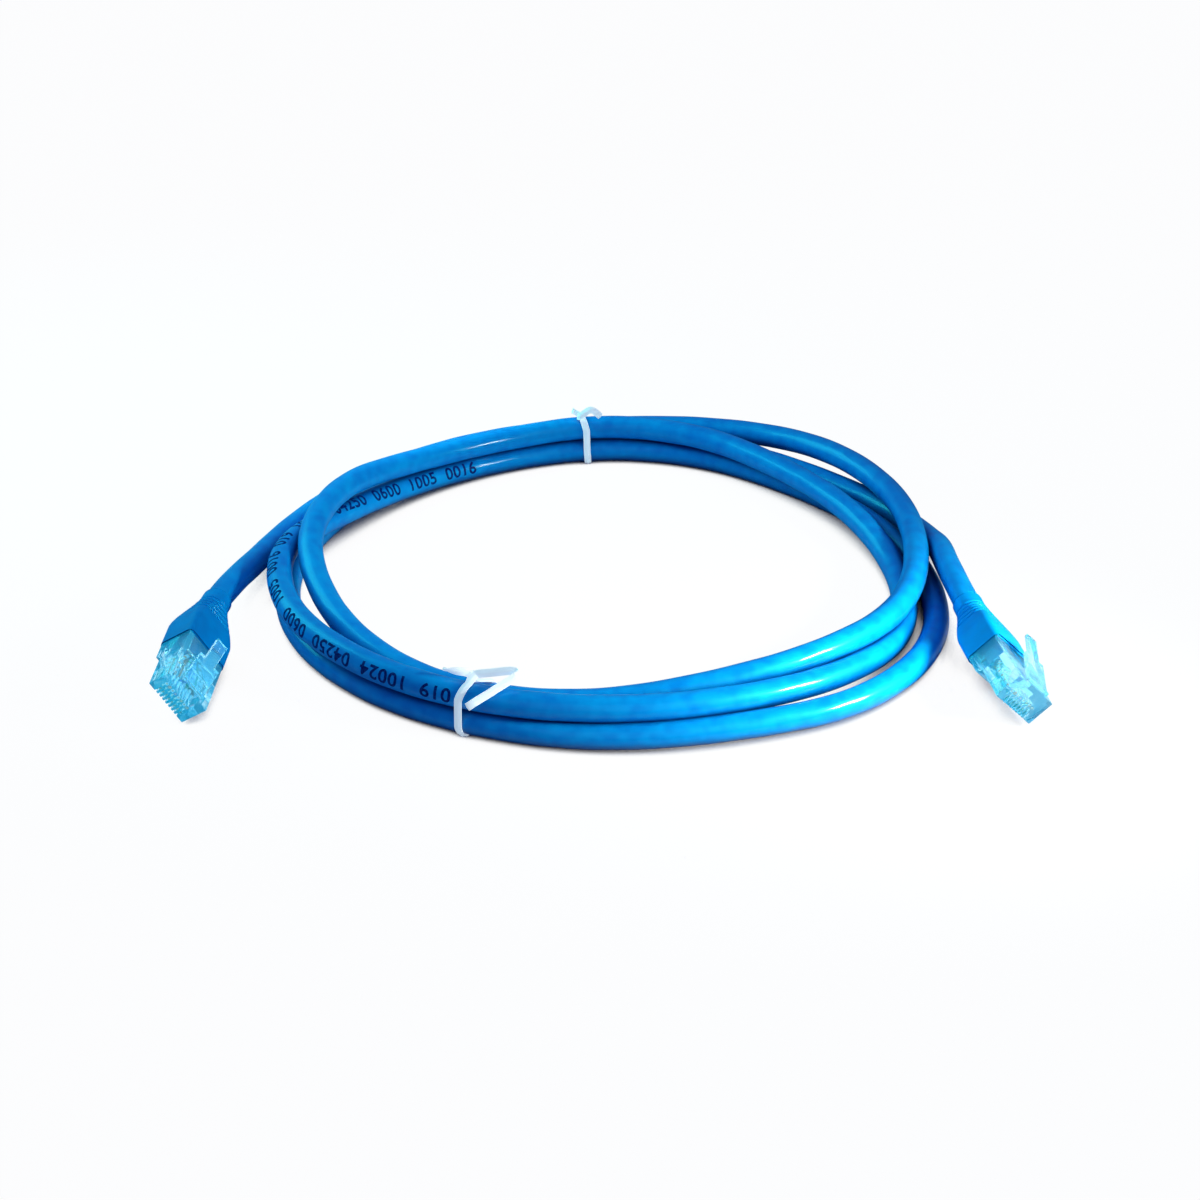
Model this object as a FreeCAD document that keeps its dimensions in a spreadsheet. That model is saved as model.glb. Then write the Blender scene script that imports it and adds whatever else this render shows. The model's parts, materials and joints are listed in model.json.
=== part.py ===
import FreeCAD, Part
import math
import os
import re
import Sketcher

# Ethernet patch cable, tied in a round coil.
# Millimetres, +Z up. The origin is the bottom centre of the whole object's box.
# The cable lies on the plane z = 0, its coil in the middle and both plugs towards -Y.

Vector = FreeCAD.Vector
Rotation = FreeCAD.Rotation
Placement = FreeCAD.Placement
UP = Vector(0, 0, 1)

SIZES = {
    # Cable: jacket, and the room round the four twisted pairs in its bore
    "jacket_diameter": 6.0,
    "jacket_wall": 0.65,
    "bundle_play": 0.15,
    # Plug housing, measured from the nose face backwards
    "plug_width": 11.68,
    "nose_height": 6.6,
    "plug_length": 21.5,
    "rear_start": 9.4,
    "rear_slope": 1.4,
    "rear_depth": 1.4,
    "cable_drop": 0.7,
    "cavity_side_play": 1.0,
    "cavity_play": 0.15,
    "cavity_end": 11.0,
    "jacket_start": 13.0,
    "throat_end": 7.2,
    "throat_side_play": 0.21,
    "throat_height": 3.2,
    "strap_front": 13.0,
    "strap_rear": 17.0,
    "strap_width": 5.8,
    "strap_depth": 0.5,
    "thumb_start": 8.0,
    "thumb_length": 4.0,
    "thumb_height": 1.5,
    "thumb_drop": 2.0,
    "thumb_depth": 0.35,
    # Eight wires in a row, with their channels
    "wire_pitch": 1.02,
    "wire_diameter": 0.84,
    "wire_play": 0.04,
    "wire_drop": 0.4,
    "wire_front": 0.9,
    "wire_bend": 9.0,
    "fan_end_run": 0.6,
    "core_diameter": 0.5,
    "fan_play": 0.16,
    "fan_row_gap": 0.66,
    # Eight contact blades
    "blade_thickness": 0.34,
    "blade_front": 0.4,
    "blade_rear": 6.2,
    "blade_sink": 0.35,
    "blade_height": 1.3,
    "blade_corner": 0.5,
    "tine_length": 0.8,
    "tine_front": 1.5,
    "tine_gap": 2.3,
    "slot_play": 0.04,
    "slot_rear_play": 0.2,
    # Latch, hinged at its root on the nose
    "latch_width": 6.2,
    "tab_width": 3.2,
    "root_height": 1.1,
    "root_length": 1.4,
    "hinge_back": 1.4,
    "hinge_rise": 0.62,
    "bead_radius": 0.48,
    "bead_play": 0.06,
    "latch_slope": 16.7,
    "latch_thickness": 0.9,
    "shoulder_back": 8.4,
    "tab_gap": 1.3,
    # Strain relief boot: how far it grips the housing, and its lengths behind it
    "boot_grip": 5.7,
    "boot_web": 2.5,
    "boot_taper": 12.0,
    "boot_tail": 4.0,
    "boot_side_wall": 0.71,
    "boot_top_wall": 1.2,
    "boot_bottom_wall": 0.8,
    "boot_corner": 1.5,
    "tail_wall": 0.9,
    "tail_corner": 3.7,
    "boot_play": 0.1,
    "bore_play": 0.1,
    "rib_lead": 2.4,
    "rib_pitch": 1.7,
    "rib_slot": 0.8,
    "rib_depth": 0.5,
    "rib_margin": 2.0,
    # Where the plugs lie: nose centre, and turns in degrees
    "plug_pitch": 2.4,
    "left_nose_x": -89.7,
    "left_nose_y": -64.8,
    "left_nose_z": 7.4,
    "left_heading": -4.0,
    "left_roll": 58.8,
    "right_nose_x": 90.0,
    "right_nose_y": -66.0,
    "right_nose_z": 7.4,
    "right_heading": 9.4,
    "right_roll": 45.3,
    # Coil: centre of its turns, and the straight run at each of its ends
    "coil_centre_x": 0.0,
    "coil_centre_y": -4.0,
    "coil_end_run": 6.0,
    # Twist ties: a flat ribbon with a steel wire along its middle
    "ribbon_width": 2.2,
    "ribbon_thickness": 0.5,
    "ribbon_play": 0.15,
    "tie_wire_diameter": 0.3,
    "tie_wire_play": 0.03,
    "front_tie_angle": -112.0,
    "rear_tie_angle": 93.0,
    "knot_diameter": 2.4,
    "knot_height": 2.2,
}

# Sizes that follow from the ones above, as formulas
JACKET_BORE = "(jacket_diameter - 2 * jacket_wall)"
BUNDLE_DIAMETER = f"({JACKET_BORE} - 2 * bundle_play)"
CAVITY_WIDTH = "(jacket_diameter + 2 * cavity_side_play)"
CAVITY_HEIGHT = "(jacket_diameter + 2 * cavity_play)"
FAN_SPACING = "((wire_diameter + fan_play) / 2)"
FAN_RISE = "((wire_diameter + fan_row_gap) / 2)"
BOOT_START = "(plug_length - boot_grip)"
BOOT_BOX_END = "(plug_length + boot_web)"
BOOT_TAPER_END = f"({BOOT_BOX_END} + boot_taper)"
BOOT_END = f"({BOOT_TAPER_END} + boot_tail)"
BOOT_WIDTH = "(plug_width + 2 * boot_play + 2 * boot_side_wall)"
BOOT_HEIGHT = "(nose_height + rear_depth + 2 * boot_play + boot_top_wall + boot_bottom_wall)"
BOOT_DROP = "((rear_depth + boot_bottom_wall - boot_top_wall) / 2)"
TAIL_SIZE = "(jacket_diameter + 2 * bore_play + 2 * tail_wall)"
TAB_BACK = f"({BOOT_START} - tab_gap)"

# The coil's three turns, seen from above and followed clockwise from the rear.
# One reach (distance from the coil's centre) and one lift (height of the cable's axis)
# for each quarter turn: rear, right, front, left, and so on to the rear again.
COIL_REACH = (79.5, 70.0, 59.0, 65.5, 64.0, 70.5, 68.0, 73.5, 65.5, 77.5, 72.5, 76.0, 72.5)
COIL_LIFT = (9.0, 12.5, 6.0, 10.0, 13.0, 4.5, 9.0, 10.0, 4.0, 2.5, 4.0, 2.5, 4.0)
COIL_START_ANGLE = 90.0
QUARTER = 90.0

# Free stretches of cable, chosen by hand along the photographed lay.
# Each starts at a boot's tail and ends at the coil; the first two points follow the boot.
FIRST_RUN = 12.0
LEFT_ROUTE = (
    (-85.0, 1.0, 6.5),
    (-80.1, 16.0, 3.8),
    (-74.5, 30.0, 3.0),
    (-66.2, 43.2, 3.0),
    (-55.2, 55.2, 3.0),
    (-42.5, 65.2, 4.0),
    (-30.0, 73.0, 7.2),
    (-17.0, 75.5, 9.0),
)
RIGHT_ROUTE = (
    (82.2, -3.0, 7.0),
    (83.2, 9.3, 4.0),
    (79.8, 23.0, 3.0),
    (72.0, 36.9, 3.0),
    (60.6, 49.6, 3.0),
    (47.7, 59.3, 3.0),
    (33.4, 66.0, 3.0),
    (18.5, 68.5, 4.0),
)
TURN_SHARE = 0.45

# Tails of the ties, as steps from the knot in the tie's own frame
FRONT_TAILS = (
    ((0.0, 0.5, 9.0),),
    ((0.0, 0.4, -7.5), (8.0, -3.0, 9.5)),
)
REAR_TAILS = (
    ((-1.0, 0.5, 5.0),),
    ((1.0, 1.0, -4.5),),
)

SIDES = ("left", "right")
WIRE_COUNT = 8
RIB_COUNT = 5

doc = FreeCAD.newDocument("patch_cable")
sheet = doc.addObject("Spreadsheet::Sheet", "Sizes")
for row, (alias, value) in enumerate(SIZES.items(), start=1):
    sheet.set(f"A{row}", alias)
    sheet.set(f"B{row}", str(value))
    sheet.setAlias(f"B{row}", alias)
doc.recompute()


def size(alias):
    """Value of one cell of the sheet."""
    return float(sheet.get(alias))


def formula(words):
    """The same formula with the sheet's name before each alias."""
    return re.sub(r"[a-z][a-z_]+", lambda found: "Sizes." + found.group(), words)


def worked_out(words):
    """Value of a formula."""
    return float(sheet.evalExpression(formula(words)))


def origin_item(body, role):
    """The body's own origin plane or axis with that role."""
    return next(item for item in body.Origin.OriginFeatures if item.Role == role)


def new_body(label):
    """Empty body whose label names its file."""
    body = doc.addObject("PartDesign::Body", label)
    body.Label = label
    return body


def new_sketch(body, name, role, offset="0"):
    """Sketch on one of the body's origin planes, moved along the plane's normal by a formula."""
    sketch = body.newObject("Sketcher::SketchObject", name)
    sketch.AttachmentSupport = [(origin_item(body, role), "")]
    sketch.MapMode = "FlatFace"
    sketch.setExpression("AttachmentOffset.Base.z", formula(offset))
    return sketch


def bind_place(sketch, element, vertex, place):
    """Hold one point of the sketch at a pair of formulas."""
    for kind, words in zip(("DistanceX", "DistanceY"), place):
        value = sketch.evalExpression(formula(words))
        index = sketch.addConstraint(Sketcher.Constraint(kind, -1, 1, element, vertex, value))
        sketch.setExpression(f"Constraints[{index}]", formula(words))


def outline(sketch, corners):
    """Closed outline of straight edges through corners, each a pair of formulas."""
    places = [Vector(*(sketch.evalExpression(formula(words)) for words in corner), 0) for corner in corners]
    first = len(sketch.Geometry)
    for start, end in zip(places, places[1:] + places[:1]):
        sketch.addGeometry(Part.LineSegment(start, end))
    for step in range(len(corners)):
        follower = first + (step + 1) % len(corners)
        sketch.addConstraint(Sketcher.Constraint("Coincident", first + step, 2, follower, 1))
        bind_place(sketch, first + step, 1, corners[step])


def rectangle(sketch, left, right, bottom, top):
    """Rectangle between four formulas."""
    outline(sketch, [(left, bottom), (right, bottom), (right, top), (left, top)])


def circle(sketch, place, diameter):
    """Circle about a pair of formulas."""
    centre = Vector(*(sketch.evalExpression(formula(words)) for words in place), 0)
    radius = sketch.evalExpression(formula(diameter)) / 2
    index = sketch.addGeometry(Part.Circle(centre, UP, radius))
    bind_place(sketch, index, 3, place)
    bound = sketch.addConstraint(Sketcher.Constraint("Diameter", index, 2 * radius))
    sketch.setExpression(f"Constraints[{bound}]", formula(diameter))


def rounded_rectangle(sketch, width, height, corner, drop):
    """Rectangle with round corners, its middle below the sketch's origin by drop."""
    half_x = f"(({width}) / 2 - ({corner}))"
    half_y = f"(({height}) / 2 - ({corner}))"
    radius = sketch.evalExpression(formula(corner))
    first = len(sketch.Geometry)
    spots = []
    for side_x, side_y in ((1, 1), (-1, 1), (-1, -1), (1, -1)):
        place = (f"{side_x} * {half_x}", f"{side_y} * {half_y} - ({drop})")
        centre = Vector(*(sketch.evalExpression(formula(words)) for words in place), 0)
        spots.append((place, centre))
    for turn, (place, centre) in enumerate(spots):
        start = turn * math.pi / 2
        arc = Part.ArcOfCircle(Part.Circle(centre, UP, radius), start, start + math.pi / 2)
        sketch.addGeometry(arc)
    arcs = [sketch.Geometry[first + turn] for turn in range(4)]
    for turn in range(4):
        sketch.addGeometry(Part.LineSegment(arcs[turn].EndPoint, arcs[(turn + 1) % 4].StartPoint))
    for turn in range(4):
        line = first + 4 + turn
        sketch.addConstraint(Sketcher.Constraint("Tangent", first + turn, 2, line, 1))
        sketch.addConstraint(Sketcher.Constraint("Tangent", line, 2, first + (turn + 1) % 4, 1))
        bind_place(sketch, first + turn, 3, spots[turn][0])
        bound = sketch.addConstraint(Sketcher.Constraint("Radius", first + turn, radius))
        sketch.setExpression(f"Constraints[{bound}]", formula(corner))


def extrude(body, kind, name, sketch, length, both=False, backwards=False):
    """Pad or pocket of a sketch, its length a formula."""
    feature = body.newObject(kind, name)
    feature.Profile = sketch
    feature.setExpression("Length", formula(length))
    feature.SideType = "Symmetric" if both else "One side"
    feature.Reversed = backwards
    body.Tip = feature
    doc.recompute()
    return feature


def pad(body, name, sketch, length, both=False, backwards=False):
    """Pad along the sketch's normal."""
    return extrude(body, "PartDesign::Pad", name, sketch, length, both, backwards)


def pocket(body, name, sketch, length, both=False, backwards=False):
    """Pocket against the sketch's normal, refused if it removes nothing."""
    before = body.Shape.Volume
    feature = extrude(body, "PartDesign::Pocket", name, sketch, length, both, backwards)
    if body.Shape.Volume >= before - 1e-6:
        raise ValueError(f"{body.Label}: {name} cuts nothing")
    return feature


def repeat_across(body, feature, name, spacing, count):
    """Copies of one feature along X, spaced by a formula."""
    row = body.newObject("PartDesign::LinearPattern", name)
    row.Originals = [feature]
    row.Direction = (origin_item(body, "X_Axis"), [""])
    row.Mode = "Spacing"
    row.setExpression("Offset", formula(spacing))
    row.Occurrences = count
    body.Tip = row
    doc.recompute()
    return row


# Plug frame: X across the plug, Y out of the nose, Z to the latch, origin at the nose's centre

def plug_placement(side):
    """Turned to face -Y, rolled about its length, pitched nose down, then headed."""
    turn = Rotation(UP, size(f"{side}_heading"))
    turn = turn * Rotation(Vector(1, 0, 0), size("plug_pitch"))
    turn = turn * Rotation(Vector(0, 1, 0), size(f"{side}_roll"))
    turn = turn * Rotation(UP, 180)
    nose = Vector(size(f"{side}_nose_x"), size(f"{side}_nose_y"), size(f"{side}_nose_z"))
    return Placement(nose, turn)


def make_housing(side):
    """Clear plug body: stepped block, cable cavity, throat, wire channels, contact slots."""
    body = new_body(f"{side}_plug_housing")
    half = "nose_height / 2"
    wide = "plug_width / 2"

    profile = new_sketch(body, f"{side}_housing_side", "YZ_Plane")
    outline(profile, [
        ("0", f"-{half}"),
        ("0", half),
        ("-plug_length", half),
        ("-plug_length", f"-{half} - rear_depth"),
        ("-rear_start - rear_slope", f"-{half} - rear_depth"),
        ("-rear_start", f"-{half}"),
    ])
    pad(body, f"{side}_housing_block", profile, "plug_width", both=True)

    root = new_sketch(body, f"{side}_root_side", "YZ_Plane")
    rectangle(root, "-root_length", "0", half, f"{half} + root_height")
    pad(body, f"{side}_latch_root", root, "latch_width", both=True)

    groove = new_sketch(body, f"{side}_groove_side", "YZ_Plane")
    circle(groove, ("-hinge_back", f"{half} + hinge_rise"), "2 * (bead_radius + bead_play)")
    pocket(body, f"{side}_latch_groove", groove, "latch_width", both=True)

    cavity = new_sketch(body, f"{side}_cavity_end", "XZ_Plane", "plug_length")
    rectangle(cavity, f"-{CAVITY_WIDTH} / 2", f"{CAVITY_WIDTH} / 2",
              f"-cable_drop - {CAVITY_HEIGHT} / 2", f"-cable_drop + {CAVITY_HEIGHT} / 2")
    pocket(body, f"{side}_cable_cavity", cavity, "plug_length - cavity_end")

    throat = new_sketch(body, f"{side}_throat_end", "XZ_Plane", "cavity_end + wire_play")
    throat_half = f"(wire_pitch * {(WIRE_COUNT - 1) / 2} + wire_diameter / 2 + throat_side_play)"
    rectangle(throat, f"-{throat_half}", throat_half,
              "-wire_drop - throat_height / 2", "-wire_drop + throat_height / 2")
    pocket(body, f"{side}_throat", throat, "cavity_end + wire_play - throat_end")

    first = f"-wire_pitch * {(WIRE_COUNT - 1) / 2}"
    channel = new_sketch(body, f"{side}_channel_end", "XZ_Plane", "throat_end + wire_play")
    circle(channel, (first, "-wire_drop"), "wire_diameter + 2 * wire_play")
    hole = pocket(body, f"{side}_channel", channel, "throat_end + 2 * wire_play - wire_front")
    repeat_across(body, hole, f"{side}_channels", "wire_pitch", WIRE_COUNT)

    slot = new_sketch(body, f"{side}_slot_mouth", "XY_Plane", f"-{half} - rear_depth")
    slot_half = "(blade_thickness / 2 + slot_play)"
    rectangle(slot, f"{first} - {slot_half}", f"{first} + {slot_half}", "-blade_rear - slot_rear_play", "0")
    slit = pocket(body, f"{side}_slot", slot, "rear_depth + blade_sink + blade_height + slot_play",
                  backwards=True)
    repeat_across(body, slit, f"{side}_slots", "wire_pitch", WIRE_COUNT)

    deep = new_sketch(body, f"{side}_tine_mouth", "XY_Plane", f"-{half}")
    rectangle(deep, f"{first} - {slot_half}", f"{first} + {slot_half}",
              "-tine_front - 2 * tine_length - tine_gap - slot_play", "-tine_front + slot_play")
    shaft = pocket(body, f"{side}_tine_shaft", deep, f"{half} - wire_drop", backwards=True)
    repeat_across(body, shaft, f"{side}_tine_shafts", "wire_pitch", WIRE_COUNT)

    strap = new_sketch(body, f"{side}_strap_face", "XY_Plane", f"-{half} - rear_depth")
    rectangle(strap, "-strap_width / 2", "strap_width / 2", "-strap_rear", "-strap_front")
    pocket(body, f"{side}_strap_recess", strap, "strap_depth", backwards=True)

    thumb = new_sketch(body, f"{side}_thumb_face", "YZ_Plane", wide)
    rectangle(thumb, "-thumb_start - thumb_length", "-thumb_start",
              "-thumb_drop - thumb_height / 2", "-thumb_drop + thumb_height / 2")
    dent = pocket(body, f"{side}_thumb_recess", thumb, "thumb_depth")
    mirror = body.newObject("PartDesign::Mirrored", f"{side}_thumb_recesses")
    mirror.Originals = [dent]
    mirror.MirrorPlane = (origin_item(body, "YZ_Plane"), [""])
    body.Tip = mirror
    doc.recompute()
    return body


def make_latch(side):
    """Sprung latch: hinge bead, broad leaf up to the shoulders, narrow tab behind them."""
    body = new_body(f"{side}_plug_latch")
    hinge_z = "(nose_height / 2 + hinge_rise)"
    slope = f"{math.tan(math.radians(size('latch_slope'))):.4f}"

    bead = new_sketch(body, f"{side}_bead_side", "YZ_Plane")
    circle(bead, ("-hinge_back", hinge_z), "2 * bead_radius")
    pad(body, f"{side}_bead", bead, "latch_width", both=True)

    def leaf(name, front, back, width):
        """Sloped plate from front to back, both distances behind the nose."""
        side_view = new_sketch(body, f"{side}_{name}_side", "YZ_Plane")
        low_front = f"{hinge_z} - latch_thickness / 2 + ({front} - hinge_back) * {slope}"
        low_back = f"{hinge_z} - latch_thickness / 2 + ({back} - hinge_back) * {slope}"
        outline(side_view, [
            (f"-({front})", low_front),
            (f"-({front})", f"{low_front} + latch_thickness"),
            (f"-({back})", f"{low_back} + latch_thickness"),
            (f"-({back})", low_back),
        ])
        pad(body, f"{side}_{name}", side_view, width, both=True)

    leaf("leaf", "hinge_back", "shoulder_back", "latch_width")
    leaf("tab", "shoulder_back - latch_thickness", TAB_BACK, "tab_width")
    return body


def make_contact(side, number):
    """Gold plated blade, sunk in its slot, with two tines that pierce the wire."""
    body = new_body(f"{side}_contact_{number}")
    place = f"wire_pitch * {(WIRE_COUNT + 1) / 2 - number}"
    low = "(-nose_height / 2 + blade_sink)"
    high = f"({low} + blade_height)"
    profile = new_sketch(body, f"{side}_contact_{number}_side", "YZ_Plane", place)
    outline(profile, [
        ("-blade_front", f"{low} + blade_corner"),
        ("-blade_front", high),
        ("-tine_front", high),
        ("-tine_front - tine_length / 2", "-wire_drop"),
        ("-tine_front - tine_length", high),
        ("-tine_front - tine_length - tine_gap", high),
        ("-tine_front - 1.5 * tine_length - tine_gap", "-wire_drop"),
        ("-tine_front - 2 * tine_length - tine_gap", high),
        ("-blade_rear", high),
        ("-blade_rear", low),
        ("-blade_front - blade_corner", low),
    ])
    pad(body, f"{side}_contact_{number}_blade", profile, "blade_thickness", both=True)
    return body


def make_boot(side):
    """Rubber-like boot: box over the housing's rear, taper, ribs, round tail on the jacket."""
    body = new_body(f"{side}_boot")
    stations = (
        (BOOT_START, BOOT_WIDTH, BOOT_HEIGHT, "boot_corner", BOOT_DROP),
        (BOOT_BOX_END, BOOT_WIDTH, BOOT_HEIGHT, "boot_corner", BOOT_DROP),
        (BOOT_TAPER_END, TAIL_SIZE, TAIL_SIZE, "tail_corner", "cable_drop"),
        (BOOT_END, TAIL_SIZE, TAIL_SIZE, "tail_corner", "cable_drop"),
    )
    sections = []
    for number, (back, width, height, corner, drop) in enumerate(stations):
        section = new_sketch(body, f"{side}_boot_section_{number}", "XZ_Plane", back)
        rounded_rectangle(section, width, height, corner, drop)
        sections.append(section)
    doc.recompute()
    skin = body.newObject("PartDesign::AdditiveLoft", f"{side}_boot_skin")
    skin.Profile = sections[0]
    skin.Sections = sections[1:]
    skin.Ruled = True
    body.Tip = skin
    doc.recompute()

    half = "nose_height / 2"
    socket = new_sketch(body, f"{side}_boot_socket_mouth", "XZ_Plane", BOOT_START)
    rectangle(socket, "-plug_width / 2 - boot_play", "plug_width / 2 + boot_play",
              f"-{half} - rear_depth - boot_play", f"{half} + boot_play")
    pocket(body, f"{side}_boot_socket", socket, "boot_grip + boot_play", backwards=True)

    bore = new_sketch(body, f"{side}_boot_bore_end", "XZ_Plane", BOOT_END)
    circle(bore, ("0", "-cable_drop"), "jacket_diameter + 2 * bore_play")
    pocket(body, f"{side}_boot_bore", bore, f"{BOOT_END} - plug_length")

    for number in range(RIB_COUNT):
        behind_box = f"(rib_lead + rib_pitch * {number})"
        back = f"({BOOT_BOX_END} + {behind_box})"
        share = f"({behind_box} / boot_taper)"
        width = f"{BOOT_WIDTH} - ({BOOT_WIDTH} - {TAIL_SIZE}) * {share} - 2 * rib_depth"
        height = f"{BOOT_HEIGHT} - ({BOOT_HEIGHT} - {TAIL_SIZE}) * {share} - 2 * rib_depth"
        corner = f"boot_corner + (tail_corner - boot_corner) * {share} - rib_depth"
        drop = f"{BOOT_DROP} + (cable_drop - {BOOT_DROP}) * {share}"
        ring = new_sketch(body, f"{side}_boot_rib_{number}_ring", "XZ_Plane", f"{back} + rib_slot")
        rounded_rectangle(ring, f"{BOOT_WIDTH} + rib_margin", f"{BOOT_HEIGHT} + rib_margin",
                          "boot_corner", BOOT_DROP)
        rounded_rectangle(ring, width, height, corner, drop)
        pocket(body, f"{side}_boot_rib_{number}", ring, "rib_slot")
    return body


def make_plug_jacket(side):
    """The jacket's end, from the housing's cavity through the boot."""
    body = new_body(f"{side}_plug_jacket")
    ring = new_sketch(body, f"{side}_plug_jacket_ring", "XZ_Plane", BOOT_END)
    circle(ring, ("0", "-cable_drop"), "jacket_diameter")
    circle(ring, ("0", "-cable_drop"), JACKET_BORE)
    pad(body, f"{side}_plug_jacket_tube", ring, f"{BOOT_END} - jacket_start", backwards=True)
    return body


def make_plug_bundle(side):
    """The four twisted pairs inside the jacket's end."""
    body = new_body(f"{side}_plug_bundle")
    disc = new_sketch(body, f"{side}_plug_bundle_end", "XZ_Plane", BOOT_END)
    circle(disc, ("0", "-cable_drop"), BUNDLE_DIAMETER)
    pad(body, f"{side}_plug_bundle_rod", disc, f"{BOOT_END} - jacket_start", backwards=True)
    return body


# Bent paths and what is swept along them

def bent_path(points):
    """Straight runs joined by tangent arcs, with the arcs' radii."""
    edges = []
    radii = []
    start = points[0]
    for before, corner, after in zip(points, points[1:], points[2:]):
        back = before - corner
        ahead = after - corner
        half_turn = (math.pi - back.getAngle(ahead)) / 2
        reach = TURN_SHARE * min(back.Length, ahead.Length)
        radius = reach / math.tan(half_turn)
        radii.append(radius)
        back.normalize()
        ahead.normalize()
        enter = corner + back * reach
        leave = corner + ahead * reach
        inward = (back + ahead).normalize()
        middle = corner + inward * (radius / math.cos(half_turn) - radius)
        edges.append(Part.LineSegment(start, enter).toShape())
        edges.append(Part.Arc(enter, middle, leave).toShape())
        start = leave
    edges.append(Part.LineSegment(start, points[-1]).toShape())
    return Part.Wire(edges), radii


def rod(path, diameter):
    """Round rod along a wire of lines and arcs."""
    first = path.OrderedEdges[0]
    start = first.valueAt(first.FirstParameter)
    ahead = first.tangentAt(first.FirstParameter)
    if (start - path.OrderedVertexes[0].Point).Length > 1e-6:
        start = first.valueAt(first.LastParameter)
        ahead = first.tangentAt(first.LastParameter) * -1
    profile = Part.Wire([Part.makeCircle(diameter / 2, start, ahead)])
    return path.makePipeShell([profile], True, False)


def add_piece(label, shape, placement=None):
    """Document object that holds one finished shape."""
    piece = doc.addObject("Part::Feature", label)
    piece.Label = label
    piece.Shape = shape
    piece.Placement = placement or Placement()
    return piece


VOLUME_SLACK = 0.01


def check_section(label, shape, area, length):
    """Compare a swept solid's volume with its section times its length."""
    share = shape.Volume / (area * length)
    print(f"{label}: length {length:.1f} mm, volume / (section x length) = {share:.4f}")
    if abs(share - 1) > VOLUME_SLACK:
        raise ValueError(f"{label}: swept volume is wrong")


def disc_area(diameter):
    return math.pi * diameter ** 2 / 4


# Wires and their copper, in the plug frame

def wire_path(number):
    """From its channel back through the throat, fanning in to the jacket's mouth."""
    place = (WIRE_COUNT + 1) / 2 - number
    across = place * size("wire_pitch")
    level = -size("wire_drop")
    back = size("jacket_start")
    rise = worked_out(FAN_RISE) * (1 if number % 2 else -1)
    gathered = Vector(place * worked_out(FAN_SPACING), 0, rise - size("cable_drop"))
    points = [
        Vector(across, -size("wire_front") - size("wire_play"), level),
        Vector(across, -size("wire_bend"), level),
        Vector(gathered.x, size("fan_end_run") - back, gathered.z),
        Vector(gathered.x, -back, gathered.z),
    ]
    return bent_path(points)[0]


def make_wires(side, contacts, placement):
    """Eight insulated wires, and the copper of all eight as one group."""
    cores = []
    for number, contact in enumerate(contacts, start=1):
        path = wire_path(number)
        whole = rod(path, size("wire_diameter"))
        core = rod(path, size("core_diameter"))
        add_piece(f"{side}_wire_{number}", whole.cut(core).cut(contact.Shape), placement)
        cores.append(core.cut(contact.Shape))
    add_piece(f"{side}_copper_cores", Part.makeCompound(cores), placement)


# Coil: quarter turns of two arcs each

def coil_stations():
    """Centre line points of the coil with their directions, one for each quarter turn."""
    centre = Vector(size("coil_centre_x"), size("coil_centre_y"), 0)
    last = len(COIL_REACH) - 1
    stations = []
    for step in range(last + 1):
        angle = math.radians(COIL_START_ANGLE - QUARTER * step)
        outward = Vector(math.cos(angle), math.sin(angle), 0)
        onward = Vector(math.sin(angle), -math.cos(angle), 0)
        place = centre + outward * COIL_REACH[step] + UP * COIL_LIFT[step]
        if 0 < step < last:
            widening = (COIL_REACH[step + 1] - COIL_REACH[step - 1]) / 2
            climb = (COIL_LIFT[step + 1] - COIL_LIFT[step - 1]) / 2
        else:
            widening = 0
            climb = 0
        swept = COIL_REACH[step] * math.radians(QUARTER)
        direction = onward * swept + outward * widening + UP * climb
        stations.append((place, direction.normalize()))
    return stations


def two_arcs(start, start_way, end, end_way):
    """Two arcs that meet smoothly, tangent to both given directions."""
    chord = end - start
    both = start_way + end_way
    square = 2 * (1 - start_way.dot(end_way))
    linear = 2 * chord.dot(both)
    reach = (-linear + math.sqrt(linear ** 2 + 4 * square * chord.dot(chord))) / (2 * square)
    near = start + start_way * reach
    far = end - end_way * reach
    joint = (near + far) * 0.5
    arcs = []
    for first, corner, last in ((start, near, joint), (joint, far, end)):
        half_turn = (corner - first).getAngle(last - corner) / 2
        middle = corner + ((first + last) * 0.5 - corner) * (1 / (1 + math.cos(half_turn)))
        arcs.append(Part.Arc(first, middle, last).toShape())
    return arcs


def coil_path():
    """The coil's centre line, with a straight run at each end."""
    stations = coil_stations()
    run = size("coil_end_run")
    start, start_way = stations[0]
    end, end_way = stations[-1]
    edges = [Part.LineSegment(start - start_way * run, start).toShape()]
    for (place, way), (following, next_way) in zip(stations, stations[1:]):
        edges.extend(two_arcs(place, way, following, next_way))
    edges.append(Part.LineSegment(end, end + end_way * run).toShape())
    return Part.Wire(edges)


def path_points(path, spacing):
    """Points along a path, edge by edge, about evenly spaced."""
    points = []
    for edge in path.OrderedEdges:
        count = max(2, int(edge.Length / spacing) + 1)
        piece = edge.discretize(Number=count)
        if points and (piece[0] - points[-1]).Length > (piece[-1] - points[-1]).Length:
            piece.reverse()
        points.extend(piece[1:] if points else piece)
    return points


def least_gap(points, spacing, diameter):
    """Least space between a tube's turns, on points of its centre line."""
    apart = int(SAME_STRETCH / spacing)
    nearest = min(
        (one - other).Length
        for index, one in enumerate(points)
        for other in points[index + apart:]
    )
    return nearest - diameter


COIL_SPACING = 1.5
SAME_STRETCH = 100.0
LEAST_GAP = 0.4
FLOOR_BLOCK = 400.0
coil_wire = coil_path()
coil_points = path_points(coil_wire, COIL_SPACING)
coil_gap = least_gap(coil_points, COIL_SPACING, size("jacket_diameter"))
print(f"coil: length {coil_wire.Length:.1f} mm, least gap to itself {coil_gap:.2f} mm")
if coil_gap < LEAST_GAP:
    raise ValueError("coil: turns too close")


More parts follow.
